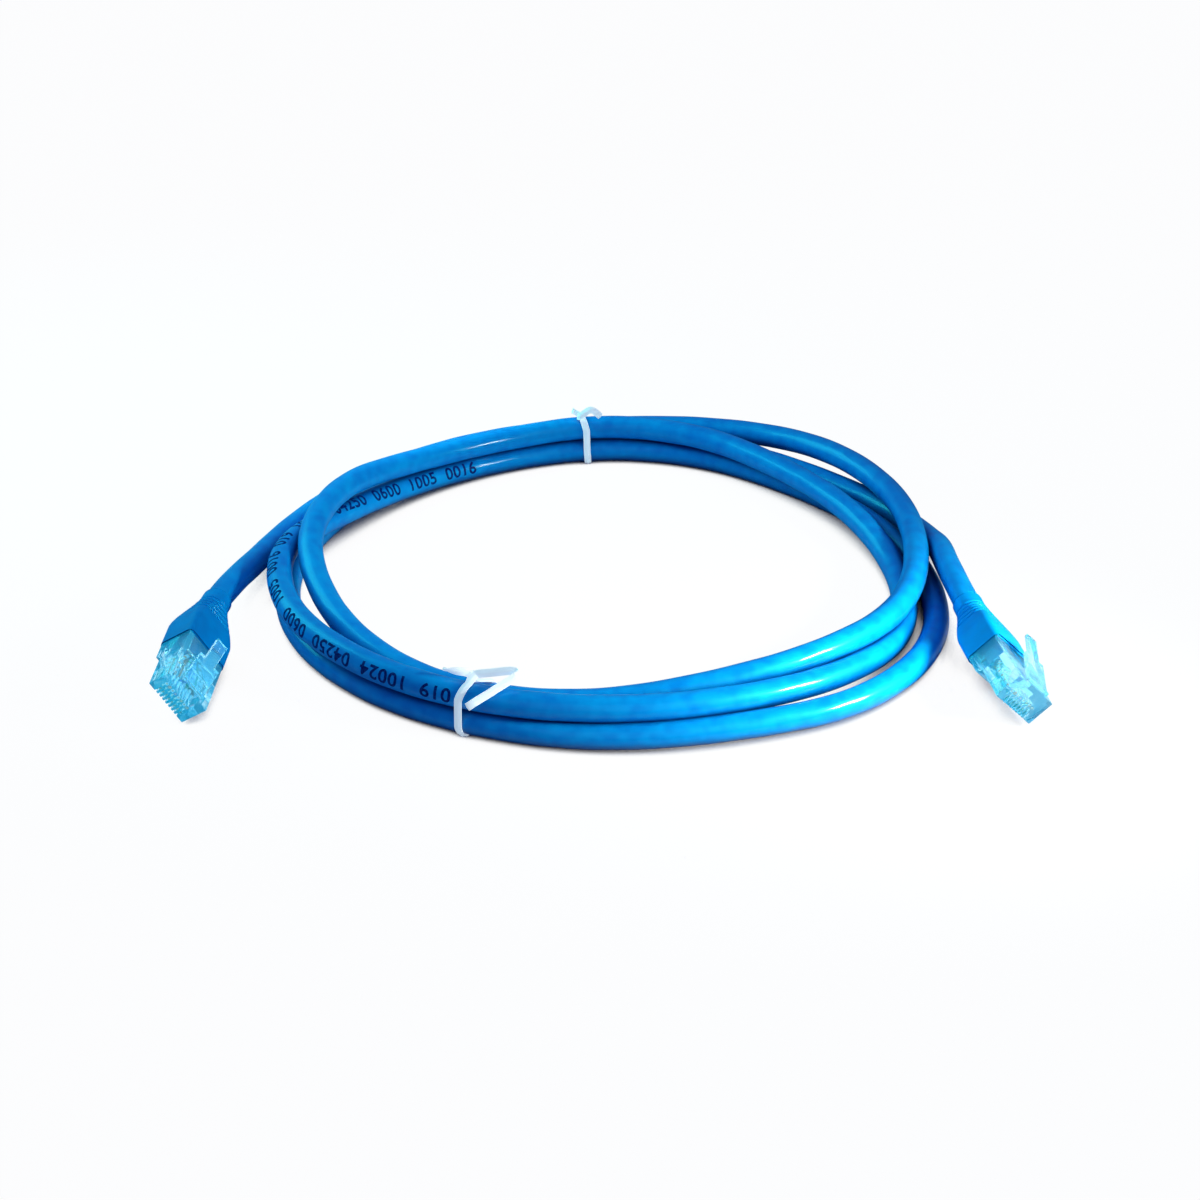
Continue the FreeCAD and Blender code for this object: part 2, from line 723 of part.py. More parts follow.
def make_tube(name, path):
    """Jacket and bundle along one path, the jacket cut flat where it dips below z = 0."""
    bore_diameter = worked_out(JACKET_BORE)
    outer = rod(path, size("jacket_diameter"))
    inner = rod(path, bore_diameter)
    bundle = rod(path, worked_out(BUNDLE_DIAMETER))
    check_section(name, outer, disc_area(size("jacket_diameter")), path.Length)
    check_section(f"{name} bore", inner, disc_area(bore_diameter), path.Length)
    jacket = outer.cut(inner)
    if outer.BoundBox.ZMin < -1e-4:
        corner = Vector(-FLOOR_BLOCK / 2, -FLOOR_BLOCK / 2, -FLOOR_BLOCK)
        jacket = jacket.cut(Part.makeBox(FLOOR_BLOCK, FLOOR_BLOCK, FLOOR_BLOCK, corner))
    add_piece(f"{name}_jacket", jacket)
    add_piece(f"{name}_bundle", bundle)


def make_lead(side, placement, route, coil_end):
    """Free stretch between a boot's tail and the coil."""
    tail = Vector(0, -worked_out(BOOT_END), -size("cable_drop"))
    beyond = tail - Vector(0, FIRST_RUN, 0)
    points = [placement.multVec(tail), placement.multVec(beyond)]
    points.extend(Vector(*place) for place in route)
    points.append(coil_end)
    path, radii = bent_path(points)
    runs = [(after - before).Length for before, after in zip(points, points[1:])]
    print(f"{side} lead: radii", " ".join(f"{radius:.0f}" for radius in radii))
    print(f"{side} lead: runs", " ".join(f"{run:.1f}" for run in runs))
    print(f"{side} lead: first points", " ".join(f"{value:.1f}" for place in points[:2] for value in place))
    make_tube(f"{side}_lead", path)


# Twist ties

def strand_centres(angle):
    """Where the coil's centre line crosses the upright half plane at an angle, as (reach, lift)."""
    centre = Vector(size("coil_centre_x"), size("coil_centre_y"), 0)
    turned = math.radians(angle)
    outward = Vector(math.cos(turned), math.sin(turned), 0)
    onward = Vector(-math.sin(turned), math.cos(turned), 0)
    crossings = []
    for one, other in zip(coil_points, coil_points[1:]):
        near = (one - centre).dot(onward)
        far = (other - centre).dot(onward)
        if near * far <= 0 and near != far and (one - centre).dot(outward) > 0:
            place = one + (other - one) * (near / (near - far))
            crossings.append(Vector((place - centre).dot(outward), place.z, 0))
    return crossings


def hull(points):
    """Outline around points, counter-clockwise."""
    ordered = sorted(points, key=lambda point: (point.x, point.y))
    chains = []
    for run in (ordered, ordered[::-1]):
        chain = []
        for point in run:
            while len(chain) > 1 and (chain[-1] - chain[-2]).cross(point - chain[-1]).z <= 0:
                chain.pop()
            chain.append(point)
        chains.append(chain[:-1])
    return chains[0] + chains[1]


def strip(start, end, width, thickness):
    """Flat strip from start to end, its width level in the tie's frame."""
    ahead = end - start
    across = Vector(0, 1, 0).cross(ahead).normalize()
    rise = ahead.cross(across).normalize()
    corner = start - across * (width / 2) - rise * (thickness / 2)
    side_step = across * width
    up_step = rise * thickness
    corners = [corner, corner + side_step, corner + side_step + up_step, corner + up_step, corner]
    return Part.Face(Part.makePolygon(corners)).extrude(ahead)


def straight_rod(start, end, diameter):
    """Round rod between two points."""
    return Part.makeCylinder(diameter / 2, (end - start).Length, start, end - start)


def make_tie(name, angle, tails):
    """Ribbon drawn round the strands and knotted on top, its tails given as steps from the knot.

    The tie's frame has X outwards from the coil's centre, Y up and Z clockwise along the strands.
    """
    around = hull(strand_centres(angle))
    core = Part.makePolygon(around + [around[0]])
    thickness = size("ribbon_thickness")
    width = size("ribbon_width")
    reach = size("jacket_diameter") / 2 + size("ribbon_play")
    wire = size("tie_wire_diameter")
    sleeve = wire + 2 * size("tie_wire_play")

    outside = Part.Face(core.makeOffset2D(reach + thickness))
    band = outside.cut(Part.Face(core.makeOffset2D(reach)))
    ribbon = band.extrude(Vector(0, 0, width))
    ribbon.translate(Vector(0, 0, -width / 2))
    loop = core.makeOffset2D(reach + thickness / 2)
    steel = rod(loop, wire)
    bore = rod(loop, sleeve)

    top = max(around, key=lambda point: point.y)
    seat = Vector(top.x, top.y + reach + thickness / 2, 0)
    knot_top = seat + Vector(0, size("knot_height"), 0)
    middle = seat + Vector(0, size("knot_height") / 2, 0)
    ribbon = ribbon.fuse(straight_rod(seat, knot_top, size("knot_diameter")))
    steel = steel.fuse(straight_rod(seat, middle, wire))
    bore = bore.fuse(straight_rod(seat, middle, sleeve))
    for steps in tails:
        start = middle
        for step in steps:
            end = start + Vector(*step)
            ribbon = ribbon.fuse(strip(start, end, width, thickness))
            steel = steel.fuse(straight_rod(start, end, wire))
            bore = bore.fuse(straight_rod(start, end, sleeve))
            start = end

    turned = math.radians(angle)
    outward = Vector(math.cos(turned), math.sin(turned), 0)
    centre = Vector(size("coil_centre_x"), size("coil_centre_y"), 0)
    placement = Placement(centre, Rotation(outward, UP, outward.cross(UP), "XYZ"))
    add_piece(f"{name}_ribbon", ribbon.cut(bore), placement)
    add_piece(f"{name}_wire", steel, placement)


for side in SIDES:
    placement = plug_placement(side)
    contacts = [make_contact(side, number) for number in range(1, WIRE_COUNT + 1)]
    make_wires(side, contacts, placement)
    pieces = [make_housing(side), make_latch(side), make_boot(side)]
    pieces.extend([make_plug_jacket(side), make_plug_bundle(side)])
    for piece in pieces + contacts:
        piece.Placement = placement

coil_stops = coil_wire.OrderedVertexes
make_lead("left", plug_placement("left"), LEFT_ROUTE, coil_stops[0].Point)
make_lead("right", plug_placement("right"), RIGHT_ROUTE, coil_stops[-1].Point)
make_tube("coil", coil_wire)
make_tie("front_tie", size("front_tie_angle"), FRONT_TAILS)
make_tie("rear_tie", size("rear_tie_angle"), REAR_TAILS)

doc.recompute()
kept = [item for item in doc.Objects if item.TypeId in ("PartDesign::Body", "Part::Feature")]
for item in doc.Objects:
    if "Invalid" in item.State or "Error" in item.State:
        raise ValueError(f"{item.Name}: {item.State}")
for item in kept:
    if item.Shape.isNull() or not item.Shape.isValid():
        raise ValueError(f"{item.Label}: bad shape")

os.makedirs("parts", exist_ok=True)
BOX_PRECISION = 0.1
whole = FreeCAD.BoundBox()
for item in kept:
    item.Shape.exportStep(f"parts/{item.Label}.step")
    for point in item.Shape.tessellate(BOX_PRECISION)[0]:
        whole.add(point)
print(f"{len(kept)} pieces written")
print("box", " ".join(f"{value:.2f}" for value in (whole.XMin, whole.XMax, whole.YMin, whole.YMax,
                                                   whole.ZMin, whole.ZMax)))
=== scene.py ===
import json
import math

import bmesh
import bpy
import numpy as np
from mathutils import Matrix

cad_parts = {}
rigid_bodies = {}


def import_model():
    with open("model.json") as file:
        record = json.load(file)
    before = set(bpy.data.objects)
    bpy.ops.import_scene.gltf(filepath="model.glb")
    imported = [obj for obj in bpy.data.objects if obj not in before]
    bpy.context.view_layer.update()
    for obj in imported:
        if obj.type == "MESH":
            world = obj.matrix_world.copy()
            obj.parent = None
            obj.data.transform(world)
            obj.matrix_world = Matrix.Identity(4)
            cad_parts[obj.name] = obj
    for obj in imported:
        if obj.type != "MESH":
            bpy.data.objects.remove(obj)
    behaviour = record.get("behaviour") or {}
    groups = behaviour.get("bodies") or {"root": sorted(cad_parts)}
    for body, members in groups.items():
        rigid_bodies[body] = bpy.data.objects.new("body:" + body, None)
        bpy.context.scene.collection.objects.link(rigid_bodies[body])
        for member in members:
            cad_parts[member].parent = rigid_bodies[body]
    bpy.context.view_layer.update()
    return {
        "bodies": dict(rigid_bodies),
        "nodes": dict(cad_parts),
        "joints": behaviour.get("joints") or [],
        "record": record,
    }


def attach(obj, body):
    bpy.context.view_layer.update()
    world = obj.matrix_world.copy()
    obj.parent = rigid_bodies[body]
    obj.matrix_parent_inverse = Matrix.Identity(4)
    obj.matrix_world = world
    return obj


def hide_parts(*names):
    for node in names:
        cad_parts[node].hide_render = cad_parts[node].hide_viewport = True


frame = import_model()


# Table and light. The cable lies on a plain white table in a pale room, lit by a strip light at its
# right, soft boxes behind its left and in front and a spot on its rear left, seen from thirty degrees up.
# Each lamp has a stand, a target, a width and depth, a power in watts, a colour and a beam in degrees.
TABLE_RADIUS = 2.4
TABLE_WHITE = (0.40, 0.44, 0.55)
TABLE_PALE = (0.43, 0.47, 0.57)
TABLE_GLOW = 1.08
GLOW_SHARE = 0.9
# Painted shade: the dark blue that the table's colour turns to, and a cut in its glow, where the cable hems
# it in.
PAINTED_CREVICE_SHADE_BLUE = (0.01, 0.06, 0.22)
CREVICE_REACH = 0.008
CREVICE_SHUT = 0.18
CREVICE_OPEN = 0.40
ROOM_BLUE = (0.22, 0.46, 1.0)
ROOM_STRENGTH = 0.25
LAMPS = {
    "strip_light_right": (
        (0.226, -0.126, 0.114), (0.050, -0.052, 0.0), (0.060, 0.032), 0.073, (1.0, 1.0, 0.80), 40),
    "soft_box_rear_left": (
        (-0.21, 0.12, 0.15), (-0.04, 0.062, 0.01), (0.20, 0.20), 0.13, (0.05, 1.0, 0.95), 80),
    "spot_rear_left": (
        (-0.07, 0.09, 0.12), (-0.045, 0.062, 0.01), (0.06, 0.06), 0.012, (0.05, 1.0, 0.85), 50),
    "soft_box_front": (
        (0.12, -0.60, 0.42), (0.02, -0.04, 0.0), (0.90, 0.70), 0.45, (0.70, 0.85, 1.0), 180),
}
CAMERA_STAND = (0.0, -0.4611, 0.2600)
CAMERA_TARGET = (0.0, -0.0160, 0.0030)
CAMERA_LENS = 66.3
CAMERA_SENSOR = 36


def new_mesh_object(name, points, faces):
    """Object of a mesh given by its points and its faces, each face a row of point numbers."""
    mesh = bpy.data.meshes.new(name)
    mesh.from_pydata(np.asarray(points, float).tolist(), [], [list(map(int, face)) for face in faces])
    mesh.shade_smooth()
    thing = bpy.data.objects.new(name, mesh)
    bpy.context.scene.collection.objects.link(thing)
    return thing


def new_node(tree, kind, place, inputs=None, **settings):
    """Node with its settings made and its inputs set or linked, each under its socket's name or number."""
    node = tree.nodes.new(kind)
    node.location = (place[0] * 220, place[1] * -220)
    for setting, value in settings.items():
        setattr(node, setting, value)
    for socket, value in (inputs or {}).items():
        if isinstance(value, bpy.types.NodeSocket):
            tree.links.new(value, node.inputs[socket])
        else:
            node.inputs[socket].default_value = value
    return node


def new_material(name):
    """Empty material and its output node."""
    material = bpy.data.materials.new(name)
    material.use_nodes = True
    tree = material.node_tree
    tree.nodes.clear()
    output = tree.nodes.new("ShaderNodeOutputMaterial")
    output.location = (1400, 0)
    return material, tree, output


def seen_directly(tree):
    """Socket that is 1 for what the camera sees straight or through clear plastic, else 0."""
    ray = new_node(tree, "ShaderNodeLightPath", (-4, 2))
    through = new_node(tree, "ShaderNodeMath", (-3, 2), {
        0: ray.outputs["Is Camera Ray"], 1: ray.outputs["Is Transmission Ray"]}, operation="MAXIMUM")
    return through.outputs[0]


ring = np.linspace(0, 2 * np.pi, 97)[:-1]
table_points = np.column_stack([np.cos(ring), np.sin(ring), np.zeros_like(ring)]) * TABLE_RADIUS
table = new_mesh_object("table", table_points, [range(len(ring))])

table_material, tree, output = new_material("white_table")
place = new_node(tree, "ShaderNodeTexCoord", (-4, 0))
cloud = new_node(tree, "ShaderNodeTexNoise", (-3, 0), {
    "Vector": place.outputs["Object"], "Scale": 9.0, "Detail": 3.0})
paper = new_node(tree, "ShaderNodeMix", (-2, 0), {
    "Factor": cloud.outputs["Fac"], 6: (*TABLE_WHITE, 1), 7: (*TABLE_PALE, 1)}, data_type="RGBA")
# Painted shade: where the cable hems the table in, its glow is cut and its matt colour goes to a dark blue,
# in place of the shade in crevices and under the strands.
openness = new_node(tree, "ShaderNodeAmbientOcclusion", (-4, 3), {"Distance": CREVICE_REACH}, samples=8)
open_share = new_node(tree, "ShaderNodeMapRange", (-3, 3), {
    "Value": openness.outputs["AO"], "From Min": CREVICE_SHUT, "From Max": CREVICE_OPEN,
    "To Max": GLOW_SHARE})
shaded = new_node(tree, "ShaderNodeMapRange", (-3, 4), {
    "Value": openness.outputs["AO"], "From Min": CREVICE_SHUT, "From Max": CREVICE_OPEN})
painted_crevice_shade = new_node(tree, "ShaderNodeMix", (-2, 1), {
    "Factor": shaded.outputs[0], 6: (*PAINTED_CREVICE_SHADE_BLUE, 1), 7: paper.outputs[2]}, data_type="RGBA")
matt = new_node(tree, "ShaderNodeBsdfDiffuse", (-1, 0), {"Color": painted_crevice_shade.outputs[2]})
glow = new_node(tree, "ShaderNodeEmission", (-1, 1), {"Color": (1, 1, 1, 1), "Strength": TABLE_GLOW})
share = new_node(tree, "ShaderNodeMath", (-1, 2), {
    0: seen_directly(tree), 1: open_share.outputs[0]}, operation="MULTIPLY")
blend = new_node(tree, "ShaderNodeMixShader", (0, 0), {
    0: share.outputs[0], 1: matt.outputs[0], 2: glow.outputs[0]})
tree.links.new(blend.outputs[0], output.inputs["Surface"])
table.data.materials.append(table_material)

world = bpy.data.worlds.new("pale_room")
bpy.context.scene.world = world
world.use_nodes = True
tree = world.node_tree
tree.nodes.clear()
ambient = new_node(tree, "ShaderNodeBackground", (-1, 0), {
    "Color": (*ROOM_BLUE, 1), "Strength": ROOM_STRENGTH})
backdrop = new_node(tree, "ShaderNodeBackground", (-1, 1), {"Color": (1, 1, 1, 1), "Strength": 1.0})
blend = new_node(tree, "ShaderNodeMixShader", (0, 0), {
    0: seen_directly(tree), 1: ambient.outputs[0], 2: backdrop.outputs[0]})
output = new_node(tree, "ShaderNodeOutputWorld", (1, 0), {"Surface": blend.outputs[0]})


def aim(thing, stand, target):
    """Put a lamp or camera at a point, looking at another, its top upwards."""
    way = np.subtract(target, stand) / np.linalg.norm(np.subtract(target, stand))
    across = np.cross(way, (0, 0, 1))
    across /= np.linalg.norm(across)
    upward = np.cross(across, way)
    turn = Matrix(np.column_stack([across, upward, -way]).tolist()).to_4x4()
    thing.matrix_world = Matrix.Translation(stand) @ turn


for name, (stand, target, (width, depth), power, colour, beam) in LAMPS.items():
    lamp = bpy.data.lights.new(name, "AREA")
    lamp.shape = "RECTANGLE"
    lamp.size = width
    lamp.size_y = depth
    lamp.energy = power
    lamp.color = colour
    lamp.spread = math.radians(beam)
    lamp_object = bpy.data.objects.new(name, lamp)
    bpy.context.scene.collection.objects.link(lamp_object)
    aim(lamp_object, stand, target)

camera = bpy.data.cameras.new("camera")
camera.lens = CAMERA_LENS
camera.sensor_width = CAMERA_SENSOR
camera_object = bpy.data.objects.new("camera", camera)
bpy.context.scene.collection.objects.link(camera_object)
aim(camera_object, CAMERA_STAND, CAMERA_TARGET)
bpy.context.scene.camera = camera_object
bpy.context.scene.view_settings.view_transform = "Standard"


# Cable: one unbroken round lead, a soft blue vinyl jacket drawn over four twisted pairs.
# It is wound by hand into three turns that lie beside and across each other on the table,
# and both its ends come out of the coil at the rear and run round it to their plugs.
MM = 0.001
CABLE_DIAMETER = 6.0
COIL_CENTRE = (0.0, -4.0)
STEPS_PER_TURN = 16
LEFT_ROUTE = (
    (-89.42, -52.18, 7.57), (-88.9, -44.81, 7.88), (-88.34, -36.84, 8.21), (-87.4, -26.5, 8.5),
    (-84.8, -16.0, 8.0), (-82.5, -6.2, 6.5), (-80.6, 2.0, 5.2), (-78.7, 10.0, 4.1), (-76.2, 18.2, 3.3),
    (-71.8, 27.8, 3.0), (-66.5, 36.5, 3.0), (-59.5, 45.9, 3.0), (-49.9, 55.4, 3.0), (-39.0, 63.5, 3.0),
    (-26.8, 69.7, 3.0), (-13.7, 73.8, 3.0),
)
COIL_REACH = (
    79.7, 81.5, 81.0, 78.0, 74.5, 72.0, 66.5, 61.5, 59.4, 60.2, 62.2, 65.2, 68.5, 67.5, 65.0, 65.5,
    69.0, 67.6, 63.8, 66.2, 70.4, 73.6, 71.3, 68.3, 67.1, 68.6, 72.0, 75.5, 74.6, 66.5, 64.8, 65.5,
    67.7, 68.4, 67.6, 71.4, 76.8, 81.5, 79.4, 72.0, 69.4, 68.6, 70.9, 73.5, 73.6, 71.5, 71.0, 72.0, 73.0,
)
COIL_LIFT = (
    3.0, 5.0, 8.6, 9.5, 9.0, 9.0, 10.0, 8.5, 5.3, 4.1, 4.4, 7.4, 13.0, 14.0, 10.0, 8.8,
    9.0, 9.2, 8.6, 6.8, 3.2, 3.0, 6.2, 8.2, 8.7, 9.1, 9.8, 10.5, 10.5, 6.6, 4.0, 3.0,
    3.0, 3.0, 3.0, 3.0, 3.0, 3.0, 3.5, 3.9, 3.3, 3.0, 3.0, 3.0, 3.0, 3.0, 3.0, 3.0, 3.0,
)
RIGHT_ROUTE = (
    (14.7, 69.3, 3.0), (29.2, 64.6, 3.0), (42.0, 57.8, 3.0), (54.0, 48.6, 3.0), (65.0, 38.0, 3.0),
    (73.2, 27.5, 3.0), (77.6, 18.8, 3.4), (80.0, 9.5, 5.1), (80.9, 0.5, 7.9), (81.1, -9.5, 8.9),
    (82.2, -19.5, 8.9), (83.6, -29.5, 8.5), (84.94, -38.46, 8.08), (86.24, -46.35, 7.75),
    (87.45, -53.64, 7.44),
)
ROUTE_DETAIL = 22
CABLE_SIDES = 32
JACKET_BORE = 4.7
CUT_DEPTH = 1.6
PAIR_RIDGE = 0.03
PAIR_LAY = 13.0
COUNTER_RIDGE = 0.5
COUNTER_LAY = 0.61
CABLE_BLUE = (0.0, 0.40, 1.0)
CABLE_DEEP_BLUE = (0.0, 0.25, 0.85)
CABLE_ROUGHNESS = 0.46
CABLE_LUMP_HEIGHT = 0.00009
CABLE_COAT = 0.50
# Painted shade: the dark blue that the vinyl turns to in the grooves between strands.
PAINTED_GROOVE_SHADE_BLUE = (0.0, 0.05, 0.27)
GROOVE_REACH = 0.007
VINYL_INDEX = 1.5
VINYL_SHEEN_BLUE = (0.0, 0.80, 1.0)
COAT_ROUGHNESS = 0.13
COAT_INDEX = 1.45


def coil_points():
    """Points round the coil, clockwise from the rear: one reach and one lift for each step of a turn.

    A reach is where the cable's axis lies, so the points stand off it by one over the cosine of half
    a step.
    """
    step = 2 * np.pi / STEPS_PER_TURN
    angle = np.pi / 2 - step * np.arange(len(COIL_REACH))
    reach = np.array(COIL_REACH) / np.cos(step / 2)
    return np.column_stack([
        COIL_CENTRE[0] + reach * np.cos(angle), COIL_CENTRE[1] + reach * np.sin(angle), COIL_LIFT])


def route_line(name, points):
    """Smooth open line of quadratic stretches between the middles of the given points' legs, as the points
    it passes, in order."""
    curve = bpy.data.curves.new(name, "CURVE")
    curve.dimensions = "3D"
    curve.resolution_u = ROUTE_DETAIL
    spline = curve.splines.new("NURBS")
    spline.points.add(len(points) - 1)
    spline.points.foreach_set("co", np.column_stack([points, np.ones(len(points))]).ravel())
    spline.order_u = 3
    spline.use_endpoint_u = True
    holder = bpy.data.objects.new(name, curve)
    bpy.context.scene.collection.objects.link(holder)
    seen = holder.evaluated_get(bpy.context.evaluated_depsgraph_get())
    mesh = bpy.data.meshes.new_from_object(seen)
    line = np.empty(len(mesh.vertices) * 3)
    mesh.vertices.foreach_get("co", line)
    bpy.data.objects.remove(holder)
    line = line.reshape(-1, 3)
    return line[np.r_[True, np.linalg.norm(np.diff(line, axis=0), axis=1) > 1e-6]]


route = np.vstack([LEFT_ROUTE, coil_points(), RIGHT_ROUTE]) * MM
cable_line = route_line("cable_route", route)
cable_run = np.r_[0, np.cumsum(np.linalg.norm(np.diff(cable_line, axis=0), axis=1))]
cable_ahead = np.gradient(cable_line, cable_run, axis=0)
cable_ahead /= np.linalg.norm(cable_ahead, axis=1)[:, None]
cable_side = np.cross(cable_ahead, (0, 0, 1))
cable_side /= np.linalg.norm(cable_side, axis=1)[:, None]
cable_rise = np.cross(cable_side, cable_ahead)


def on_jacket(run, turn, lift=0.0):
    """Points on the jacket, a run along it and a turn about it: the line's point at that run, plus the
    radius times the side way by the turn's cosine and the upper way by its sine. The radius swells over
    the twisted pairs in four low waves that wind a quarter turn in each lay, and in three of half their
    height that wind a fifth of a turn the other way."""
    centre, side, rise = (
        np.stack([np.interp(run, cable_run, field[:, axis]) for axis in range(3)], -1)
        for field in (cable_line, cable_side, cable_rise))
    winding = run / (PAIR_LAY * MM) * 2 * np.pi
    waves = np.cos(4 * turn - winding) + COUNTER_RIDGE * np.cos(3 * turn + COUNTER_LAY * winding)
    ridge = PAIR_RIDGE * waves / (1 + COUNTER_RIDGE)
    radius = (CABLE_DIAMETER / 2 + ridge) * MM - PAIR_RIDGE * MM + lift
    return centre + radius[..., None] * (side * np.cos(turn)[..., None] + rise * np.sin(turn)[..., None])


def grid_faces(rows, columns, ring_rows=False):
    """Four-sided faces of a grid of points, row by row: every row is a closed ring, and the rows
    themselves form one where asked."""
    row = np.arange(rows if ring_rows else rows - 1)[:, None]
    column = np.arange(columns)[None, :]
    next_row, next_column = (row + 1) % rows, (column + 1) % columns
    corners = [row * columns + column, next_row * columns + column,
               next_row * columns + next_column, row * columns + next_column]
    return np.stack(np.broadcast_arrays(*corners), -1).reshape(-1, 4)


def vinyl_skin_group():
    """Skin of soft moulded vinyl: lumps that tone its colour and gloss, and lumps with a fine grain as
    height."""
    group = bpy.data.node_groups.new("vinyl_skin", "ShaderNodeTree")
    for name, kind, value in (
            ("Place", "Vector", None), ("Colour", "Color", None), ("Deep colour", "Color", None),
            ("Lump size", "Float", 330.0), ("Grain size", "Float", 2600.0), ("Grain share", "Float", 0.12),
            ("Roughness", "Float", 0.35), ("Roughness drift", "Float", 0.10)):
        socket = group.interface.new_socket(name=name, in_out="INPUT", socket_type="NodeSocket" + kind)
        if value is not None:
            socket.default_value = value
    for name, kind in (("Colour", "Color"), ("Roughness", "Float"), ("Height", "Float")):
        group.interface.new_socket(name=name, in_out="OUTPUT", socket_type="NodeSocket" + kind)
    given = new_node(group, "NodeGroupInput", (-5, 0))
    lumps = new_node(group, "ShaderNodeTexNoise", (-3, 0), {
        "Vector": given.outputs["Place"], "Scale": given.outputs["Lump size"],
        "Detail": 1.5, "Roughness": 0.45})
    drift = new_node(group, "ShaderNodeTexNoise", (-3, 1), {
        "Vector": given.outputs["Place"], "Scale": 38.0, "Detail": 3.0, "Roughness": 0.6})
    together = new_node(group, "ShaderNodeMath", (-2, 1), {
        0: lumps.outputs["Fac"], 1: drift.outputs["Fac"]}, operation="ADD")
    spread = new_node(group, "ShaderNodeMapRange", (-2, 0), {
        "Value": together.outputs[0], "From Min": 0.72, "From Max": 1.28})
    mixed = new_node(group, "ShaderNodeMix", (-1, 0), {
        "Factor": spread.outputs[0], 6: given.outputs["Deep colour"], 7: given.outputs["Colour"]},
        data_type="RGBA")
    grain = new_node(group, "ShaderNodeTexNoise", (-3, 2), {
        "Vector": given.outputs["Place"], "Scale": given.outputs["Grain size"],
        "Detail": 2.0, "Roughness": 0.5})
    height = new_node(group, "ShaderNodeMath", (-2, 2), {
        0: grain.outputs["Fac"], 1: given.outputs["Grain share"], 2: lumps.outputs["Fac"]},
        operation="MULTIPLY_ADD")
    dulled = new_node(group, "ShaderNodeMath", (-1, 1), {
        0: spread.outputs[0], 1: given.outputs["Roughness drift"], 2: given.outputs["Roughness"]},
        operation="MULTIPLY_ADD")
    result = new_node(group, "NodeGroupOutput", (1, 0))
    group.links.new(mixed.outputs[2], result.inputs["Colour"])
    group.links.new(dulled.outputs[0], result.inputs["Roughness"])
    group.links.new(height.outputs[0], result.inputs["Height"])
    return group


VINYL_SKIN = vinyl_skin_group()


def vinyl_material(name, place_name, colour, deep_colour, roughness, lump_height, coat):
    """Soft vinyl in one colour, with painted shade in the grooves between strands: a dark blue mixed in
    where other strands hem it in. Its place comes from the object, or from a named attribute of the mesh."""
    material, tree, output = new_material(name)
    if place_name:
        place = new_node(tree, "ShaderNodeAttribute", (-4, 0), attribute_name=place_name).outputs["Vector"]
    else:
        place = new_node(tree, "ShaderNodeTexCoord", (-4, 0)).outputs["Object"]
    skin = new_node(tree, "ShaderNodeGroup", (-3, 0), node_tree=VINYL_SKIN)
    tree.links.new(place, skin.inputs["Place"])
    skin.inputs["Colour"].default_value = (*colour, 1)
    skin.inputs["Deep colour"].default_value = (*deep_colour, 1)
    skin.inputs["Roughness"].default_value = roughness
    bump = new_node(tree, "ShaderNodeBump", (-1, 2), {
        "Height": skin.outputs["Height"], "Strength": 1.0, "Distance": lump_height})
    # Painted shade: the colour goes to a dark blue where other strands hem the skin in.
    nearness = new_node(tree, "ShaderNodeAmbientOcclusion", (-3, 3), {"Distance": GROOVE_REACH}, samples=6)
    open_skin = new_node(tree, "ShaderNodeMapRange", (-2, 3), {
        "Value": nearness.outputs["AO"], "From Min": 0.25, "From Max": 0.80})
    shaded_skin = new_node(tree, "ShaderNodeMix", (-1, 0), {
        "Factor": open_skin.outputs[0], 6: (*PAINTED_GROOVE_SHADE_BLUE, 1), 7: skin.outputs["Colour"]}, data_type="RGBA")
    vinyl = new_node(tree, "ShaderNodeBsdfPrincipled", (0, 0), {
        "Base Color": shaded_skin.outputs[2], "Roughness": skin.outputs["Roughness"],
        "Normal": bump.outputs[0]})
    vinyl.inputs["IOR"].default_value = VINYL_INDEX
    vinyl.inputs["Specular IOR Level"].default_value = 1.0
    vinyl.inputs["Specular Tint"].default_value = (*VINYL_SHEEN_BLUE, 1)
    vinyl.inputs["Coat Weight"].default_value = coat
    vinyl.inputs["Coat Roughness"].default_value = COAT_ROUGHNESS
    vinyl.inputs["Coat IOR"].default_value = COAT_INDEX
    tree.links.new(vinyl.outputs[0], output.inputs["Surface"])
    return material


turns = np.linspace(0, 2 * np.pi, CABLE_SIDES, endpoint=False)
run_grid, turn_grid = np.meshgrid(cable_run, turns, indexing="ij")
jacket_rings = on_jacket(run_grid, turn_grid)
cable_end = cable_run[-1]
jacket_wall = (CABLE_DIAMETER - JACKET_BORE) / 2
cut_grid = np.tile([[CUT_DEPTH * MM], [0.0], [cable_end], [cable_end - CUT_DEPTH * MM]], CABLE_SIDES)
rims = [on_jacket(cut_run, turns, -jacket_wall * MM) for cut_run in cut_grid]
cable_rings = np.concatenate([rims[:2], jacket_rings, rims[2:]])
jacket_faces = grid_faces(len(cable_rings), CABLE_SIDES).tolist()
jacket_faces.append(list(range(CABLE_SIDES)))
last_ring = (len(cable_rings) - 1) * CABLE_SIDES
jacket_faces.append(list(range(last_ring + CABLE_SIDES - 1, last_ring - 1, -1)))
cable = new_mesh_object("cable", cable_rings.reshape(-1, 3), jacket_faces)
cable.data.set_sharp_from_angle(angle=math.radians(60))
lay = cable.data.attributes.new("lay", "FLOAT_VECTOR", "POINT")
half = CABLE_DIAMETER / 2 * MM
lay_run = np.concatenate([cut_grid[:2], run_grid, cut_grid[2:]])
lay_turn = np.broadcast_to(turns, lay_run.shape)
lay.data.foreach_set("vector", np.stack(
    [lay_run, half * np.cos(lay_turn), half * np.sin(lay_turn)], -1).astype(np.float32).ravel())
cable.data.materials.append(vinyl_material(
    "cable_vinyl", "lay", CABLE_BLUE, CABLE_DEEP_BLUE, CABLE_ROUGHNESS, CABLE_LUMP_HEIGHT, CABLE_COAT))
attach(cable, "cord_set")
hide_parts("coil_jacket", "coil_bundle", "left_lead_jacket", "left_lead_bundle",
            "right_lead_jacket", "right_lead_bundle", "left_plug_jacket", "right_plug_jacket")


